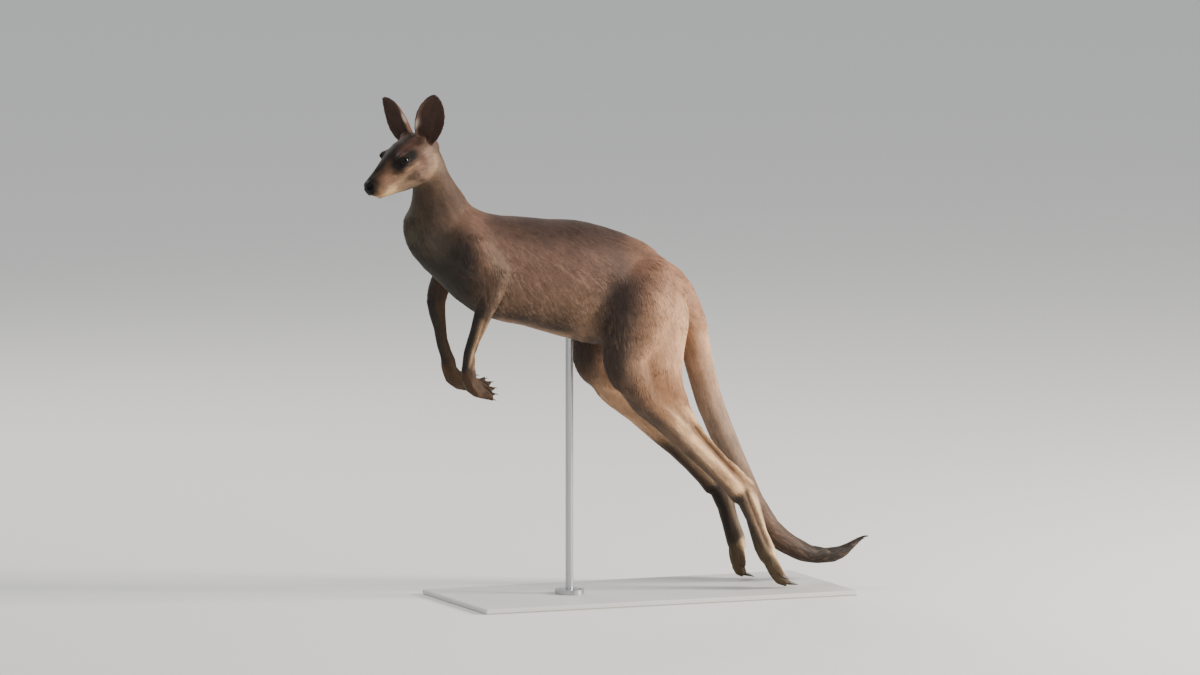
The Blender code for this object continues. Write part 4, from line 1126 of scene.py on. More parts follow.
def noise(tree, place, scale, detail=2.0, roughness=0.5):
    sockets = {"Vector": place, "Scale": scale, "Detail": detail, "Roughness": roughness}
    return node_in(tree, "ShaderNodeTexNoise", sockets).outputs["Fac"]


def ranged(tree, value, low, high, start, end):
    """A value's stretch from `low` to `high`, spread from `start` to `end`."""
    sockets = {"Value": value, "From Min": low, "From Max": high, "To Min": start, "To Max": end}
    return node_in(tree, "ShaderNodeMapRange", sockets, clamp=True).outputs["Result"]


def stored_as(tree, name, output):
    return node_in(tree, "ShaderNodeAttribute", attribute_name=name).outputs[output]


def object_place(tree):
    return node_in(tree, "ShaderNodeTexCoord").outputs["Object"]


def mixed(tree, share, one, two):
    sockets = {"Factor": share, "A": one, "B": two}
    return node_in(tree, "ShaderNodeMix", sockets, data_type="RGBA").outputs["Result"]


def sockets_of(tree, direction, sockets):
    """Gives a node group its named sockets, each with its kind and a value to start from."""
    for name, (kind, start) in sockets.items():
        socket = tree.interface.new_socket(name, in_out=direction, socket_type="NodeSocket" + kind)
        if start is not None:
            socket.default_value = start


def pelt_group():
    """Coat colour and streak height from the stored markings."""
    tree = bpy.data.node_groups.new("pelt", "ShaderNodeTree")
    sockets_of(tree, "INPUT", {
        "Streak": ("Float", PLAIN_STREAK), "Shade": ("Float", PLAIN_SHADE),
        "Pale hair": ("Color", (*colour("streak"), 1.0)),
    })
    sockets_of(tree, "OUTPUT", {"Color": ("Color", None), "Height": ("Float", None)})
    entry = node_in(tree, "NodeGroupInput").outputs
    comb_at = stored_as(tree, "comb", "Vector")
    streaks = noise(tree, comb_at, STREAK_SCALE, 3.0, PELT_ROUGHNESS)
    patches = noise(tree, object_place(tree), PATCH_SCALE, 2.0, PELT_ROUGHNESS)
    flecks = noise(tree, comb_at, FLECK_SCALE, 2.0, PELT_ROUGHNESS)
    locks = noise(tree, comb_at, LOCK_SCALE, 1.0, PELT_ROUGHNESS)
    marked, flecked = stored_as(tree, "coat", "Color"), stored_as(tree, "fleck", "Fac")
    pale = maths(tree, "MULTIPLY", flecked, ranged(tree, flecks, *FLECK_RANGE))
    hair = mixed(tree, pale, marked, entry["Pale hair"])
    swing = maths(tree, "MULTIPLY", ranged(tree, streaks, *STREAK_RANGE), entry["Streak"])
    swing = maths(tree, "ADD", swing, ranged(tree, patches, *PATCH_RANGE))
    swing = maths(tree, "ADD", swing, ranged(tree, locks, *LOCK_RANGE))
    shade = maths(tree, "MULTIPLY", maths(tree, "ADD", swing, 1.0), entry["Shade"])
    tint = node_in(tree, "ShaderNodeVectorMath", {0: hair, "Scale": shade}, operation="SCALE")
    node_in(tree, "NodeGroupOutput", {"Color": tint.outputs["Vector"], "Height": streaks})
    return tree


def bumped(material, shader, height, distance, strength):
    sockets = {"Height": height, "Distance": distance, "Strength": strength}
    bump = node_in(material.node_tree, "ShaderNodeBump", sockets)
    material.node_tree.links.new(bump.outputs["Normal"], shader.inputs["Normal"])


def pelt_finish(name, roughness, shine, shade, bump):
    """The pelt group in a material of its own, with the soft sheen of hair."""
    material, shader = finish(name, roughness, shine)
    shader.inputs["Sheen Weight"].default_value = SHEEN
    shader.inputs["Sheen Tint"].default_value = SHEEN_TINT
    tree = material.node_tree
    pelt = node_in(tree, "ShaderNodeGroup", node_tree=PELT)
    pelt.inputs["Streak"].default_value = HAIR_STREAK
    if isinstance(shade, str):
        tree.links.new(stored_as(tree, shade, "Fac"), pelt.inputs["Shade"])
    else:
        pelt.inputs["Shade"].default_value = shade
    tree.links.new(pelt.outputs["Color"], shader.inputs["Base Color"])
    bumped(material, shader, pelt.outputs["Height"], *bump)
    return material


PELT = pelt_group()
skin_finish = pelt_finish("skin_pelt", SKIN_ROUGHNESS, SKIN_SHINE, SKIN_SHADE, SKIN_BUMP)
skin_mesh.materials.clear()
skin_mesh.materials.append(skin_finish)
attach(skin, "root")
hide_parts(*FLESH, "ear_left", "ear_right")


# ---------------------------------------------------------------- coat
# The coat is short and dense. Thin bent tufts are rooted in the skin, lie one over another
# along the lie and end at the animal's true outline. They are smallest on the face and feet.

# Length, width, lift in metres and tufts for each square metre of each region.
TUFTS = {
    "head": (0.0080, 0.00103, 0.00058, 3.04e5), "nose": (0.0030, 0.00069, 0.00029, 0.0),
    "neck": (0.0185, 0.00237, 0.00072, 1.43e5), "chest": (0.0205, 0.00262, 0.00072, 1.25e5),
    "belly": (0.0215, 0.00275, 0.00086, 1.12e5), "rump": (0.0210, 0.00275, 0.00079, 1.12e5),
    "tail_root": (0.0185, 0.00250, 0.00072, 1.25e5), "tail_middle": (0.0170, 0.00237, 0.00072, 1.25e5),
    "tail_lower": (0.0150, 0.00200, 0.00065, 1.43e5), "tail_tip": (0.0130, 0.00162, 0.00065, 2.15e5),
    "thigh": (0.0205, 0.00287, 0.00072, 0.83e5), "shank": (0.0130, 0.00187, 0.00050, 1.30e5),
    "foot": (0.0082, 0.00115, 0.00036, 1.79e5), "toes": (0.0055, 0.00092, 0.00043, 1.97e5),
    "upper_arm": (0.0165, 0.00225, 0.00072, 1.25e5), "forearm": (0.0105, 0.00150, 0.00050, 1.88e5),
    "hand": (0.0036, 0.00072, 0.00026, 2.16e5), "ear": (0.0040, 0.00069, 0.00014, 1.79e5),
}
PIECES = {
    "coat_head": ("head", "nose"), "coat_ears": ("ear",), "coat_neck": ("neck",),
    "coat_chest": ("chest",), "coat_belly": ("belly",), "coat_rump": ("rump",), "coat_tail": TAIL,
    "coat_thighs": ("thigh",), "coat_shanks": ("shank",), "coat_feet": ("foot", "toes"),
    "coat_arms": ARM,
}
TUFT_SIDES, TUFT_SEGMENTS, TUFT_SEED, TUFT_ROUNDS = 3, 2, 17, 4
# A tuft is drawn in at its root, bends over in part of a sine and is wider than it is thick.
ROOT_END, ROOT_WIDTH, TUFT_BEND, TUFT_ARCH, TUFT_WIDE, TUFT_RIDGE = 0.01, 0.45, 2.6, 0.42, -1.3, 0.78
YAW_SPREAD, SIZE_SPREAD, LONGEST_SHARE = math.radians(11.0), 0.30, 0.5
YAW_DRAW, SIZE_DRAW, SHADE_DRAW = 3, 5, 9
PATCH_ACROSS, HALF_PATCH = 0.003, 0.5
TUFT_TIP_SHADE, TUFT_ROOT_SHADE, SHADE_SPREAD = 1.04, 0.92, (0.90, 0.20)
NORMAL_BLEND = 0.86
# Tufts shrink towards the lids and the nose, stand thicker round the eye, and end at the lids.
BY_EYE, EYE_SMALL, EYE_BARE, EYE_THICK = (0.001, 0.014), 0.35, 0.0011, (0.012, 1.6)
MUZZLE_FROM, MUZZLE_BLEND, MUZZLE_SMALL = 0.150, 0.075, 0.55
COAT_ROUGHNESS, COAT_SHINE, COAT_BUMP = 0.66, 0.22, (0.0008, 0.5)

sizes = relaxed(np.array([TUFTS[region_of(node)] for node in HIDE])[owner], edges, TUFT_ROUNDS)
sizes[:, 3] *= region_names != "nose"
gap = np.full(len(points), 1.0)
for side in SIDES:
    near = np.linalg.norm(points - eye_places[side], axis=1) < NEAR_EYE
    gap = np.where(near, lid_gap(*eye_coordinates(points, side)[:2]), gap)
small = EYE_SMALL + (1 - EYE_SMALL) * step(gap, *BY_EYE)
from_muzzle = step(MUZZLE_FROM - in_head(points)[:, 0], 0.0, MUZZLE_BLEND)
small *= np.where(on_head, MUZZLE_SMALL + (1 - MUZZLE_SMALL) * from_muzzle, 1.0)
sizes[:, :3] *= small[:, None]
most = sizes[:, 3].max()
thick = sizes[:, 3] / most * np.where(on_head & (gap < EYE_THICK[0]), EYE_THICK[1], 1.0)
thick = np.where(gap < EYE_BARE, 0.0, thick)
FOR_TUFTS = {"thick": thick, "lie": lie, "size": sizes[:, :3], "skin_normal": normals}
for name, values in FOR_TUFTS.items():
    stored(skin_mesh, name, values)


def tuft_tree(material):
    """Scatters bent tufts over a skin that says how large, how thick and which way they lie."""
    tree = bpy.data.node_groups.new("tufts", "GeometryNodeTree")
    sockets_of(tree, "INPUT", {
        "Skin": ("Geometry", None), "Tufts per area": ("Float", most), "Sides": ("Int", TUFT_SIDES),
        "Segments": ("Int", TUFT_SEGMENTS), "Seed": ("Int", TUFT_SEED), "Yaw": ("Float", YAW_SPREAD),
    })
    sockets_of(tree, "OUTPUT", {"Coat": ("Geometry", None)})
    entry = node_in(tree, "NodeGroupInput").outputs

    def named(name, kind):
        kind_of_node = "GeometryNodeInputNamedAttribute"
        return node_in(tree, kind_of_node, {"Name": name}, data_type=kind).outputs["Attribute"]

    def keep(geometry, name, kind, value):
        sockets = {"Geometry": geometry, "Name": name, "Value": value}
        made = node_in(tree, "GeometryNodeStoreNamedAttribute", sockets, data_type=kind)
        return made.outputs["Geometry"]

    def times(one, two):
        return maths(tree, "MULTIPLY", one, two)

    def drawn(low, high, seed):
        sockets = {"Min": low, "Max": high, "Seed": seed}
        return node_in(tree, "FunctionNodeRandomValue", sockets, data_type="FLOAT").outputs[1]

    # One tuft: a cone laid along X, drawn in at its root, arched and flat.
    cone = node_in(tree, "GeometryNodeMeshCone", {
        "Vertices": entry["Sides"], "Side Segments": entry["Segments"],
        "Radius Top": 0.0, "Radius Bottom": 1.0, "Depth": 1.0,
    }, fill_type="NGON")
    spot = node_in(tree, "GeometryNodeInputPosition").outputs[0]
    apart = node_in(tree, "ShaderNodeSeparateXYZ", {0: spot}).outputs
    run = apart["Z"]
    swell = times(maths(tree, "GREATER_THAN", run, ROOT_END), 1 - ROOT_WIDTH)
    swell = maths(tree, "ADD", swell, ROOT_WIDTH)
    arch = times(maths(tree, "SINE", times(run, TUFT_BEND)), TUFT_ARCH)
    wide, deep = times(times(apart["Y"], TUFT_WIDE), swell), times(times(apart["X"], TUFT_RIDGE), swell)
    place = node_in(tree, "ShaderNodeCombineXYZ", {
        "X": run, "Y": wide, "Z": maths(tree, "ADD", arch, deep),
    }).outputs["Vector"]
    kept = keep(cone.outputs["Mesh"], "along", "FLOAT", run)
    kept = keep(kept, "patch", "FLOAT_VECTOR", place)
    tuft = node_in(tree, "GeometryNodeSetPosition", {"Geometry": kept, "Position": place})

    scatter = node_in(tree, "GeometryNodeDistributePointsOnFaces", {
        "Mesh": entry["Skin"], "Density": times(entry["Tufts per area"], named("thick", "FLOAT")),
        "Seed": entry["Seed"],
    }, distribute_method="RANDOM")
    along_lie = node_in(tree, "FunctionNodeAlignRotationToVector", {
        "Vector": named("lie", "FLOAT_VECTOR"),
    }, axis="X")
    upright = node_in(tree, "FunctionNodeAlignRotationToVector", {
        "Rotation": along_lie.outputs[0], "Vector": named("skin_normal", "FLOAT_VECTOR"),
    }, axis="Z", pivot_axis="X")
    turn = node_in(tree, "FunctionNodeAxisAngleToRotation", {
        "Axis": (0.0, 0.0, 1.0), "Angle": times(entry["Yaw"], drawn(-1.0, 1.0, YAW_DRAW)),
    })
    turned = node_in(tree, "FunctionNodeRotateRotation", {
        "Rotation": upright.outputs[0], "Rotate By": turn.outputs[0],
    }, rotation_space="LOCAL")
    spread_by = drawn(1.0 - SIZE_SPREAD, 1.0 + SIZE_SPREAD * LONGEST_SHARE, SIZE_DRAW)
    grow = node_in(tree, "ShaderNodeVectorMath", {
        0: named("size", "FLOAT_VECTOR"), "Scale": spread_by,
    }, operation="SCALE")
    roots = keep(scatter.outputs["Points"], "shade", "FLOAT", drawn(0.0, 1.0, SHADE_DRAW))
    spot = node_in(tree, "GeometryNodeInputPosition").outputs[0]
    roots = keep(roots, "root", "FLOAT_VECTOR", spot)
    spread = node_in(tree, "GeometryNodeInstanceOnPoints", {
        "Points": roots, "Instance": tuft.outputs[0],
        "Rotation": turned.outputs[0], "Scale": grow.outputs[0],
    })
    real = node_in(tree, "GeometryNodeRealizeInstances", {0: spread.outputs[0]})
    painted_on = node_in(tree, "GeometryNodeSetMaterial", {
        "Geometry": real.outputs[0], "Material": material,
    })
    node_in(tree, "NodeGroupOutput", {0: painted_on.outputs[0]})
    return tree


def read(mesh, name, width):
    """One named attribute of a mesh as an array."""
    layer = mesh.attributes[name]
    values = np.zeros(len(layer.data) * width, np.float32)
    layer.data.foreach_get("vector" if width > 1 else "value", values)
    return values.reshape(-1, width) if width > 1 else values


def part_of_skin(name, chosen):
    """A copy of the skin's faces whose first corner is chosen, with all that it stores."""
    shape = bmesh.new()
    shape.from_mesh(skin_mesh)
    shape.verts.ensure_lookup_table()
    spare = [face for face in shape.faces if not chosen[face.verts[0].index]]
    bmesh.ops.delete(shape, geom=spare, context="FACES")
    return added(name, mesh_from(shape, name))


def settled(mesh):
    """Gives each tuft its patch of the skin's unwrap, its shade and the light of the skin."""
    root_uv, patch, shade = read(mesh, "OFBake", 2), read(mesh, "patch", 3), read(mesh, "shade", 1)
    aside = np.clip(patch[:, 1] * HALF_PATCH, -HALF_PATCH, HALF_PATCH)
    spot = root_uv + np.stack((patch[:, 0] - HALF_PATCH, aside), axis=1) * PATCH_ACROSS
    corner = np.zeros(len(mesh.loops), np.int32)
    mesh.loops.foreach_get("vertex_index", corner)
    mesh.attributes.remove(mesh.attributes["OFBake"])
    layer = mesh.uv_layers.new(name="OFBake")
    layer.uv.foreach_set("vector", spot[corner].astype(np.float32).ravel())
    rise = (TUFT_TIP_SHADE - TUFT_ROOT_SHADE) * np.sqrt(read(mesh, "along", 1))
    least, more = SHADE_SPREAD
    stored(mesh, "tip_shade", (TUFT_ROOT_SHADE + rise) * (least + more * shade))
    # The streaks of the skin run on through each tuft.
    places, own = (np.zeros(len(mesh.vertices) * 3, np.float32) for _ in range(2))
    mesh.vertices.foreach_get("co", places)
    run, lie_here = places.reshape(-1, 3) - read(mesh, "root", 3), read(mesh, "lie", 3)
    ahead = np.einsum("ij,ij->i", run, lie_here) * (1 - STREAK_SHARE)
    comb_here = read(mesh, "comb", 3) + run - lie_here * ahead[:, None]
    mesh.attributes["comb"].data.foreach_set("vector", comb_here.astype(np.float32).ravel())
    mesh.vertex_normals.foreach_get("vector", own)
    from_skin, own = read(mesh, "skin_normal", 3), own.reshape(-1, 3)
    light = unit(from_skin * NORMAL_BLEND + own * (1 - NORMAL_BLEND))
    for name in ("patch", "shade", "along", "root", *FOR_TUFTS):
        mesh.attributes.remove(mesh.attributes[name])
    mesh.shade_smooth()
    mesh.normals_split_custom_set_from_vertices(light.tolist())


coat_finish = pelt_finish("coat_pelt", COAT_ROUGHNESS, COAT_SHINE, "tip_shade", COAT_BUMP)
TUFT_TREE = tuft_tree(coat_finish)
sockets = {item.name: item.identifier for item in TUFT_TREE.interface.items_tree}
for name, regions in PIECES.items():
    coat_piece = part_of_skin(name, np.isin(region_names, regions))
    scatter = coat_piece.modifiers.new("tufts", "NODES")
    scatter.node_group = TUFT_TREE
    scatter[sockets["Tufts per area"]] = float(most)
    scatter[sockets["Sides"]] = TUFT_SIDES
    scatter[sockets["Segments"]] = TUFT_SEGMENTS
    scatter[sockets["Seed"]] = TUFT_SEED
    scatter[sockets["Yaw"]] = YAW_SPREAD
    settled(made_plain(coat_piece, name))
    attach(coat_piece, "root")
for name in FOR_TUFTS:
    skin_mesh.attributes.remove(skin_mesh.attributes[name])


# ---------------------------------------------------------------- nose
# The nose leather is a bare black pad round both nostrils, moist, with a fine pebbled grain.
# It grows out of the skin, and its edge dips under the short hair of the lip.

PAD_SOFTENING, PAD_PROUD, PAD_DIP, PAD_WALL = 12, 0.0004, 0.0010, 0.0010
PAD_FROM, PAD_NEAR, PAD_EDGE = 0.12, 0.02, (0.30, 0.62)
# The nostril hollows are painted shade, blacker than the leather round them.
NOSTRIL_SHADE_REACH, NOSTRIL_SHADE_BLACK = (0.0015, 0.0042), (0.002, 0.002, 0.002, 1.0)
LEATHER_ROUGHNESS, LEATHER_SHINE, LEATHER_BUMP, PEBBLE_SCALE = 0.62, 0.16, (0.0004, 0.6), 950.0

pad_field = relaxed((region_names == "nose") * 1.0, edges, PAD_SOFTENING)
pad = part_of_skin("nose_pad", pad_field > PAD_FROM)
places = arrays_of(pad.data)[0]
tree = KDTree(len(points))
for number in np.nonzero(pad_field > PAD_NEAR)[0]:
    tree.insert(points[number], int(number))
tree.balance()
nearest = np.array([tree.find(place)[1] for place in places])
rise = step(pad_field[nearest], *PAD_EDGE) * (PAD_PROUD + PAD_DIP) - PAD_DIP
places += normals[nearest] * rise[:, None]
pad.data.vertices.foreach_set("co", places.astype(np.float32).ravel())
# Painted shade: the hollow mask blackens the leather near each nostril.
from_nostril = np.min(
    [np.linalg.norm(in_half_head(places) - np.array(spot), axis=1) for spot in NOSTRIL], axis=0
)
stored(pad.data, "hollow", 1 - step(from_nostril, *NOSTRIL_SHADE_REACH))
wall = pad.modifiers.new("wall", "SOLIDIFY")
wall.thickness = PAD_WALL
wall.offset = -1.0
pad_mesh = made_plain(pad, "nose_pad")
pad_mesh.shade_smooth()

pad_finish, pad_shader = finish("nose_leather", LEATHER_ROUGHNESS, LEATHER_SHINE)
tree = pad_finish.node_tree
cells = node_in(tree, "ShaderNodeTexVoronoi", {
    "Vector": object_place(tree), "Scale": PEBBLE_SCALE,
}, feature="SMOOTH_F1")
black = mixed(tree, stored_as(tree, "hollow", "Fac"), (*colour("nose"), 1.0), NOSTRIL_SHADE_BLACK)
tree.links.new(black, pad_shader.inputs["Base Color"])
bumped(pad_finish, pad_shader, cells.outputs["Distance"], *LEATHER_BUMP)
pad_mesh.materials.clear()
pad_mesh.materials.append(pad_finish)
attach(pad, "root")
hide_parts("nose")


# ---------------------------------------------------------------- eyes
# Each eye is a polished glass globe in the socket, as a taxidermist sets it: a near-black
# brown iris, a wide pupil and a clear dome over both.

EYE_RINGS, EYE_SPOKES = 28, 48
CORNEA_ANGLE, CORNEA_RISE, CORNEA_ROUND = 0.86, 0.0007, 1.5
PUPIL_ANGLE, IRIS_ANGLE, IRIS_EDGE = 0.42, 0.78, 0.03
PUPIL_BLACK = (0.001, 0.001, 0.001, 1.0)
IRIS_BROWN, RIM_BROWN = (0.018, 0.009, 0.005, 1.0), (0.006, 0.004, 0.003, 1.0)
GLASS_ROUGHNESS, GLASS_SHINE, GLASS_COAT, COAT_SMOOTH = 0.12, 0.12, 0.06, 0.02


def ramp(tree, value, *stops):
    """Colours spread over a value, each given with its position."""
    node = node_in(tree, "ShaderNodeValToRGB", {"Fac": value})
    marks = node.color_ramp.elements
    for mark, (position, tint) in zip(marks, stops):
        mark.position, mark.color = position, tint
    for position, tint in stops[2:]:
        marks.new(position).color = tint
    return node.outputs["Color"]


eye_finish, eye_shader = finish("eye_glass", GLASS_ROUGHNESS, GLASS_SHINE)
eye_shader.inputs["Coat Weight"].default_value = GLASS_COAT
eye_shader.inputs["Coat Roughness"].default_value = COAT_SMOOTH
tree = eye_finish.node_tree
# The ramp holds 0 to 1, so it reads half of the angle.
half_turn = maths(tree, "MULTIPLY", stored_as(tree, "from_axis", "Fac"), 0.5)
zones = ramp(
    tree, half_turn, (PUPIL_ANGLE / 2, PUPIL_BLACK), (PUPIL_ANGLE / 2 + IRIS_EDGE, IRIS_BROWN),
    (IRIS_ANGLE / 2, RIM_BROWN),
)
tree.links.new(zones, eye_shader.inputs["Base Color"])

for side in SIDES:
    face, centre = Vector(eye_facing(side)), Vector(eye_places[side])
    aside = face.orthogonal().normalized()
    other = face.cross(aside)
    shape = bmesh.new()
    turns = shape.verts.layers.float.new("from_axis")
    rings = []
    for ring in range(EYE_RINGS + 1):
        angle = math.pi * ring / EYE_RINGS
        slope = math.cos(min(angle / CORNEA_ANGLE, 1.0) * math.pi / 2)
        reach = eye_radius + CORNEA_RISE * max(0.0, slope) ** CORNEA_ROUND
        line = []
        for spoke in range(1 if ring in (0, EYE_RINGS) else EYE_SPOKES):
            way = 2 * math.pi * spoke / EYE_SPOKES
            flat = (aside * math.cos(way) + other * math.sin(way)) * math.sin(angle)
            corner = shape.verts.new(centre + (face * math.cos(angle) + flat) * reach)
            corner[turns] = angle
            line.append(corner)
        rings.append(line)
    for upper, lower in zip(rings[:-1], rings[1:]):
        for spoke in range(EYE_SPOKES):
            after = (spoke + 1) % EYE_SPOKES
            corners = [upper[spoke % len(upper)], lower[spoke % len(lower)]]
            corners += [lower[after % len(lower)], upper[after % len(upper)]]
            shape.faces.new(list(dict.fromkeys(corners)))
    bmesh.ops.recalc_face_normals(shape, faces=shape.faces)
    globe = added(f"glass_eye_{side}", mesh_from(shape, f"glass_eye_{side}"))
    globe.data.shade_smooth()
    globe.data.materials.append(eye_finish)
    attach(globe, "root")
    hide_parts(f"eye_{side}")


# ---------------------------------------------------------------- claws
# The long toe claws and the ten curved finger claws are dark horn, smooth along their length
# and mottled. The finger claws are worn short. Each grows out of its own finger or toe.

CLAWS = [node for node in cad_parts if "claw" in node]
CLAW_WORN, CLAW_ROUNDING = 0.58, 2
HORN_ROUGHNESS, HORN_SHINE, HORN_BUMP, HORN_GRAIN = 0.42, 0.35, (0.0002, 0.4), (260.0, 4.0)
HORN_DARK, HORN_PALE = (0.012, 0.010, 0.008, 1.0), (0.045, 0.034, 0.026, 1.0)
skin_tree = BVHTree.FromPolygons(points.tolist(), faces.tolist())

shape = bmesh.new()
for node in CLAWS:
    one = bmesh.new()
    one.from_mesh(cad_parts[node].data)
    bmesh.ops.remove_doubles(one, verts=one.verts, dist=WELD)
    spots = (corner.co.copy() for corner in one.verts)
    root = min(spots, key=lambda spot: skin_tree.find_nearest(spot)[3])
    for corner in one.verts:
        corner.co = root + (corner.co - root) * (CLAW_WORN if "finger" in node else 1.0)
    scrap = mesh_from(one, "scrap")
    shape.from_mesh(scrap)
    bpy.data.meshes.remove(scrap)
claws = added("claws", mesh_from(shape, "claws_cast"))
rounding = claws.modifiers.new("rounding", "SUBSURF")
rounding.levels = rounding.render_levels = CLAW_ROUNDING
claw_mesh = made_plain(claws, "claws")
claw_mesh.shade_smooth()
claw_finish, claw_shader = finish("claw_horn", HORN_ROUGHNESS, HORN_SHINE)
tree = claw_finish.node_tree
grain = noise(tree, object_place(tree), *HORN_GRAIN)
horn = ramp(tree, grain, (0.0, HORN_DARK), (1.0, HORN_PALE))
tree.links.new(horn, claw_shader.inputs["Base Color"])
bumped(claw_finish, claw_shader, grain, *HORN_BUMP)
claw_mesh.materials.clear()
claw_mesh.materials.append(claw_finish)
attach(claws, "root")
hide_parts(*CLAWS)


# ---------------------------------------------------------------- whiskers and lashes
# Stiff single hairs are set one by one: whiskers in rows along the upper lip and a few over
# the eye and on the chin, and a short row of lashes on each upper lid.

HAIR_STEPS, HAIR_SIDES, HAIR_RADIUS, HAIR_TIP, HAIR_TAPER = 7, 4, 0.00012, 0.12, 0.8
HAIR_SEED, ROOT_SPREAD, WAY_SPREAD, LASH_SPREAD = 29, 0.0009, 0.10, 0.08
WHISKER_ROWS = (
    # Metres ahead, aside, up at the row's first and last root, count and length.
    ((0.184, 0.016, -0.020), (0.158, 0.022, -0.020), 5, 0.038),
    ((0.186, 0.015, -0.026), (0.154, 0.023, -0.027), 6, 0.044),
    ((0.184, 0.014, -0.032), (0.156, 0.022, -0.034), 5, 0.040),
    ((0.118, 0.034, 0.022), (0.106, 0.037, 0.025), 3, 0.020),
    ((0.165, 0.010, -0.052), (0.150, 0.012, -0.054), 4, 0.024),
)
# Shares of the skin's normal and of the head's axes in the way that a hair grows and bends.
WHISKER_OUT, WHISKER_BACK, WHISKER_FAN, WHISKER_DOWN = 0.8, 0.55, 0.4, 0.25
BEND_BACK, BEND_DOWN, WHISKER_LENGTHS, WHISKER_ROOT = 0.25, 0.30, (0.75, 1.1), 0.0008
LASHES, LASH_LENGTH, LASH_ROW, LASH_EDGE, LASH_REACH = 13, 0.0085, (0.55, 1.35), 0.0010, 0.02
LASH_UP, LASH_BACK, LASH_BEND_UP, LASH_BEND_BACK = 0.30, 0.35, 0.25, 0.15
WHISKER_ROUGHNESS, WHISKER_SHINE, MOTTLE_SCALE = 0.45, 0.4, 90.0
WHISKER_DARK, WHISKER_PALE = (0.012, 0.010, 0.009, 1.0), (0.060, 0.046, 0.036, 1.0)

chance = np.random.default_rng(HAIR_SEED)
hairs = bmesh.new()


def hair(root, way, bend, length):
    """A closed tapering hair that starts under the skin and bends as it goes."""
    way, bend = Vector(unit(way)), Vector(bend)
    aside = way.orthogonal().normalized()
    other = way.cross(aside)
    rings = []
    for number in range(HAIR_STEPS + 1):
        run = number / HAIR_STEPS
        centre = Vector(root) + way * length * run + bend * length * run**2
        thick = HAIR_RADIUS * (1 - run) ** HAIR_TAPER + HAIR_RADIUS * HAIR_TIP
        ring = []
        for spoke in range(HAIR_SIDES):
            angle = 2 * math.pi * spoke / HAIR_SIDES
            rim = (aside * math.cos(angle) + other * math.sin(angle)) * thick
            ring.append(hairs.verts.new(centre + rim))
        rings.append(ring)
    for one, two in zip(rings[:-1], rings[1:]):
        for spoke in range(HAIR_SIDES):
            after = (spoke + 1) % HAIR_SIDES
            hairs.faces.new((one[spoke], one[after], two[after], two[spoke]))
    hairs.faces.new(rings[0][::-1])
    hairs.faces.new(rings[-1])


for side, outward in SIDES.items():
    for first, last, count, length in WHISKER_ROWS:
        for number in range(count):
            share = number / (count - 1)
            spot = np.array(first) * (1 - share) + np.array(last) * share
            spot += chance.normal(0, ROOT_SPREAD, 3)
            seek = from_head(spot[0], spot[1] * outward, spot[2])
            root, normal = (np.array(found) for found in skin_tree.find_nearest(seek)[:2])
            way = normal * WHISKER_OUT - head_ahead * (WHISKER_BACK + WHISKER_FAN * share)
            way = way - head_up * WHISKER_DOWN + chance.normal(0, WAY_SPREAD, 3)
            bend = -head_ahead * BEND_BACK - head_up * BEND_DOWN
            size = length * chance.uniform(*WHISKER_LENGTHS)
            hair(root - normal * WHISKER_ROOT, way, bend, size)
    ahead, upward, _, away = eye_coordinates(points, side)
    gap = lid_gap(ahead, upward)
    for number in range(LASHES):
        wanted = LID_LONG * (LASH_ROW[0] - LASH_ROW[1] * number / (LASHES - 1))
        misses = np.abs(ahead - wanted) + np.abs(gap - LASH_EDGE)
        best = int(np.argmin(misses + (upward < 0) + (away > LASH_REACH)))
        way = eye_facing(side) + head_up * LASH_UP - head_ahead * LASH_BACK
        way = way + chance.normal(0, LASH_SPREAD, 3)
        bend = head_up * LASH_BEND_UP - head_ahead * LASH_BEND_BACK
        hair(points[best], way, bend, LASH_LENGTH)
bmesh.ops.recalc_face_normals(hairs, faces=hairs.faces)
whiskers = added("whiskers", mesh_from(hairs, "whiskers"))
whiskers.data.shade_smooth()
hair_finish, hair_shader = finish("whisker_hair", WHISKER_ROUGHNESS, WHISKER_SHINE)
tree = hair_finish.node_tree
mottle = noise(tree, object_place(tree), MOTTLE_SCALE)
shaft = ramp(tree, mottle, (0.0, WHISKER_DARK), (1.0, WHISKER_PALE))
tree.links.new(shaft, hair_shader.inputs["Base Color"])
whiskers.data.materials.append(hair_finish)
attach(whiskers, "root")


# ---------------------------------------------------------------- stand
# A painted board, a turned steel flange screwed to it and one rod that meets the belly hold
# the animal up in mid-bound.

PAINT, PAINT_WORN = (0.60, 0.59, 0.57, 1.0), (0.52, 0.50, 0.47, 1.0)
PAINT_ROUGHNESS, PAINT_SHINE, PAINT_BUMP = 0.55, 0.35, (0.0003, 0.35)
ROLLER, CLOUD, BRUSH = (420.0, 3.0), (6.0, 5.0), (900.0, 3.0)
STEEL_ROUGHNESS, STEEL_SHINE, STEEL_BUMP, DRAWN = 0.32, 0.5, (0.0001, 0.25), (1.0, 1.0, 0.02)
STEEL_DARK, STEEL_PALE, STEEL_RANGE = (0.36, 0.36, 0.37, 1.0), (0.56, 0.56, 0.57, 1.0), (0.24, 0.44)

paint, paint_shader = finish("board_paint", PAINT_ROUGHNESS, PAINT_SHINE)
tree = paint.node_tree
place = object_place(tree)
coats = mixed(tree, noise(tree, place, *CLOUD), PAINT, PAINT_WORN)
tree.links.new(coats, paint_shader.inputs["Base Color"])
bumped(paint, paint_shader, noise(tree, place, *ROLLER), *PAINT_BUMP)

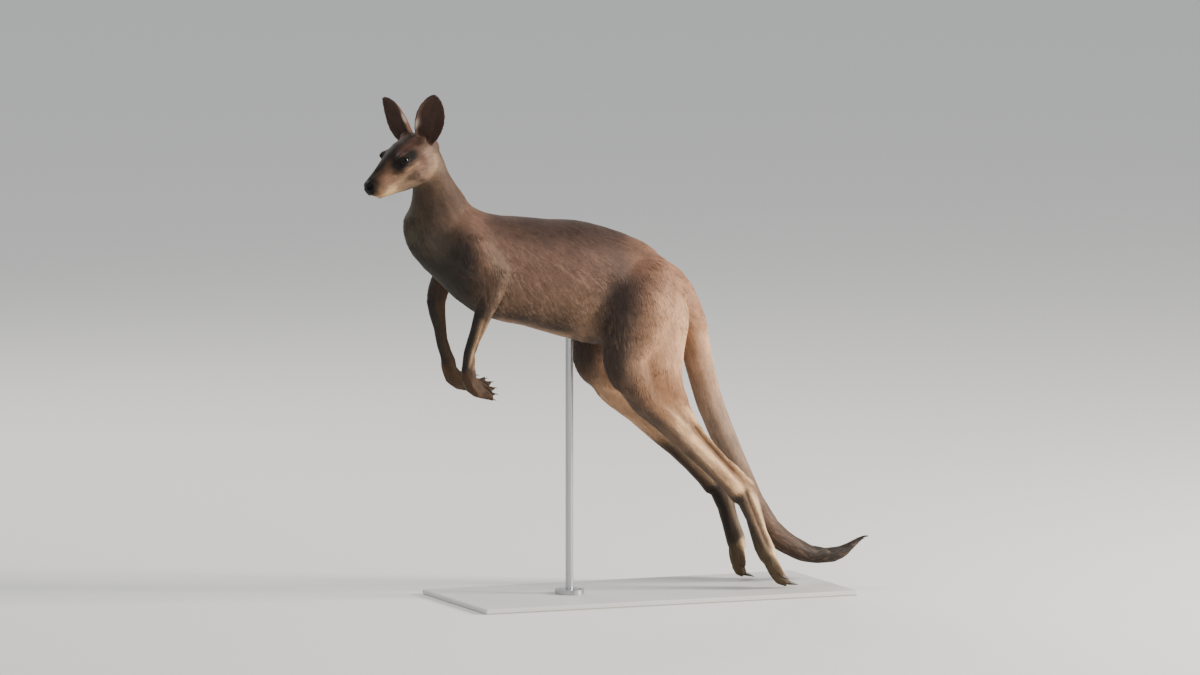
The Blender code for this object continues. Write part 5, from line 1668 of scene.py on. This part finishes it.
steel, steel_shader = finish("satin_steel", STEEL_ROUGHNESS, STEEL_SHINE)
steel_shader.inputs["Metallic"].default_value = 1.0
tree = steel.node_tree
drawn = node_in(tree, "ShaderNodeMapping", {"Vector": object_place(tree), "Scale": DRAWN})
brush = noise(tree, drawn.outputs["Vector"], *BRUSH)
satin = ranged(tree, brush, 0.0, 1.0, *STEEL_RANGE)
tree.links.new(satin, steel_shader.inputs["Roughness"])
metal = ramp(tree, brush, (0.0, STEEL_DARK), (1.0, STEEL_PALE))
tree.links.new(metal, steel_shader.inputs["Base Color"])
bumped(steel, steel_shader, brush, *STEEL_BUMP)
for node, material in (("stand_base", paint), ("stand_flange", steel), ("stand_rod", steel)):
    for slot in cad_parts[node].material_slots:
        slot.material = material


# ---------------------------------------------------------------- stand: screws
# Four steel screws with low tapered heads hold the flange to the board. They are set evenly on
# one circle round the rod.

SCREW_COUNT, SCREW_SHARE, SCREW_RADIUS, SCREW_RISE = 4, 0.72, 0.0042, 0.0016
SCREW_SIDES, SCREW_TOP = 20, 0.62

flange_low, flange_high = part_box("stand_flange")
flange_middle = (flange_low + flange_high) / 2
screw_circle = (flange_high.x - flange_low.x) / 2 * SCREW_SHARE


def screw_tree():
    """Low tapered heads set round a circle."""
    tree = bpy.data.node_groups.new("screws", "GeometryNodeTree")
    sockets_of(tree, "INPUT", {
        "Seat": ("Geometry", None), "Count": ("Int", SCREW_COUNT), "Circle": ("Float", screw_circle),
        "Head radius": ("Float", SCREW_RADIUS), "Head rise": ("Float", SCREW_RISE),
        "Centre": ("Vector", tuple(flange_middle)),
    })
    sockets_of(tree, "OUTPUT", {"Screws": ("Geometry", None)})
    entry = node_in(tree, "NodeGroupInput").outputs
    ring = node_in(tree, "GeometryNodeMeshCircle", {
        "Vertices": entry["Count"], "Radius": entry["Circle"],
    })
    moved = node_in(tree, "GeometryNodeSetPosition", {
        "Geometry": ring.outputs[0], "Offset": entry["Centre"],
    })
    head = node_in(tree, "GeometryNodeMeshCone", {
        "Vertices": SCREW_SIDES, "Radius Top": SCREW_TOP, "Radius Bottom": 1.0, "Depth": 1.0,
    })
    size = node_in(tree, "ShaderNodeCombineXYZ", {
        "X": entry["Head radius"], "Y": entry["Head radius"], "Z": entry["Head rise"],
    })
    spread = node_in(tree, "GeometryNodeInstanceOnPoints", {
        "Points": moved.outputs[0], "Instance": head.outputs[0], "Scale": size.outputs[0],
    })
    real = node_in(tree, "GeometryNodeRealizeInstances", {0: spread.outputs[0]})
    finished = node_in(tree, "GeometryNodeSetMaterial", {
        "Geometry": real.outputs[0], "Material": steel,
    })
    node_in(tree, "NodeGroupOutput", {0: finished.outputs[0]})
    return tree


screws = added("stand_screws", bpy.data.meshes.new("seat"))
set_round = screws.modifiers.new("screws", "NODES")
set_round.node_group = screw_tree()
sockets = {item.name: item.identifier for item in set_round.node_group.interface.items_tree}
set_round[sockets["Centre"]] = (flange_middle.x, flange_middle.y, flange_high.z)
set_round[sockets["Circle"]] = screw_circle
made_plain(screws, "stand_screws")
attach(screws, "root")
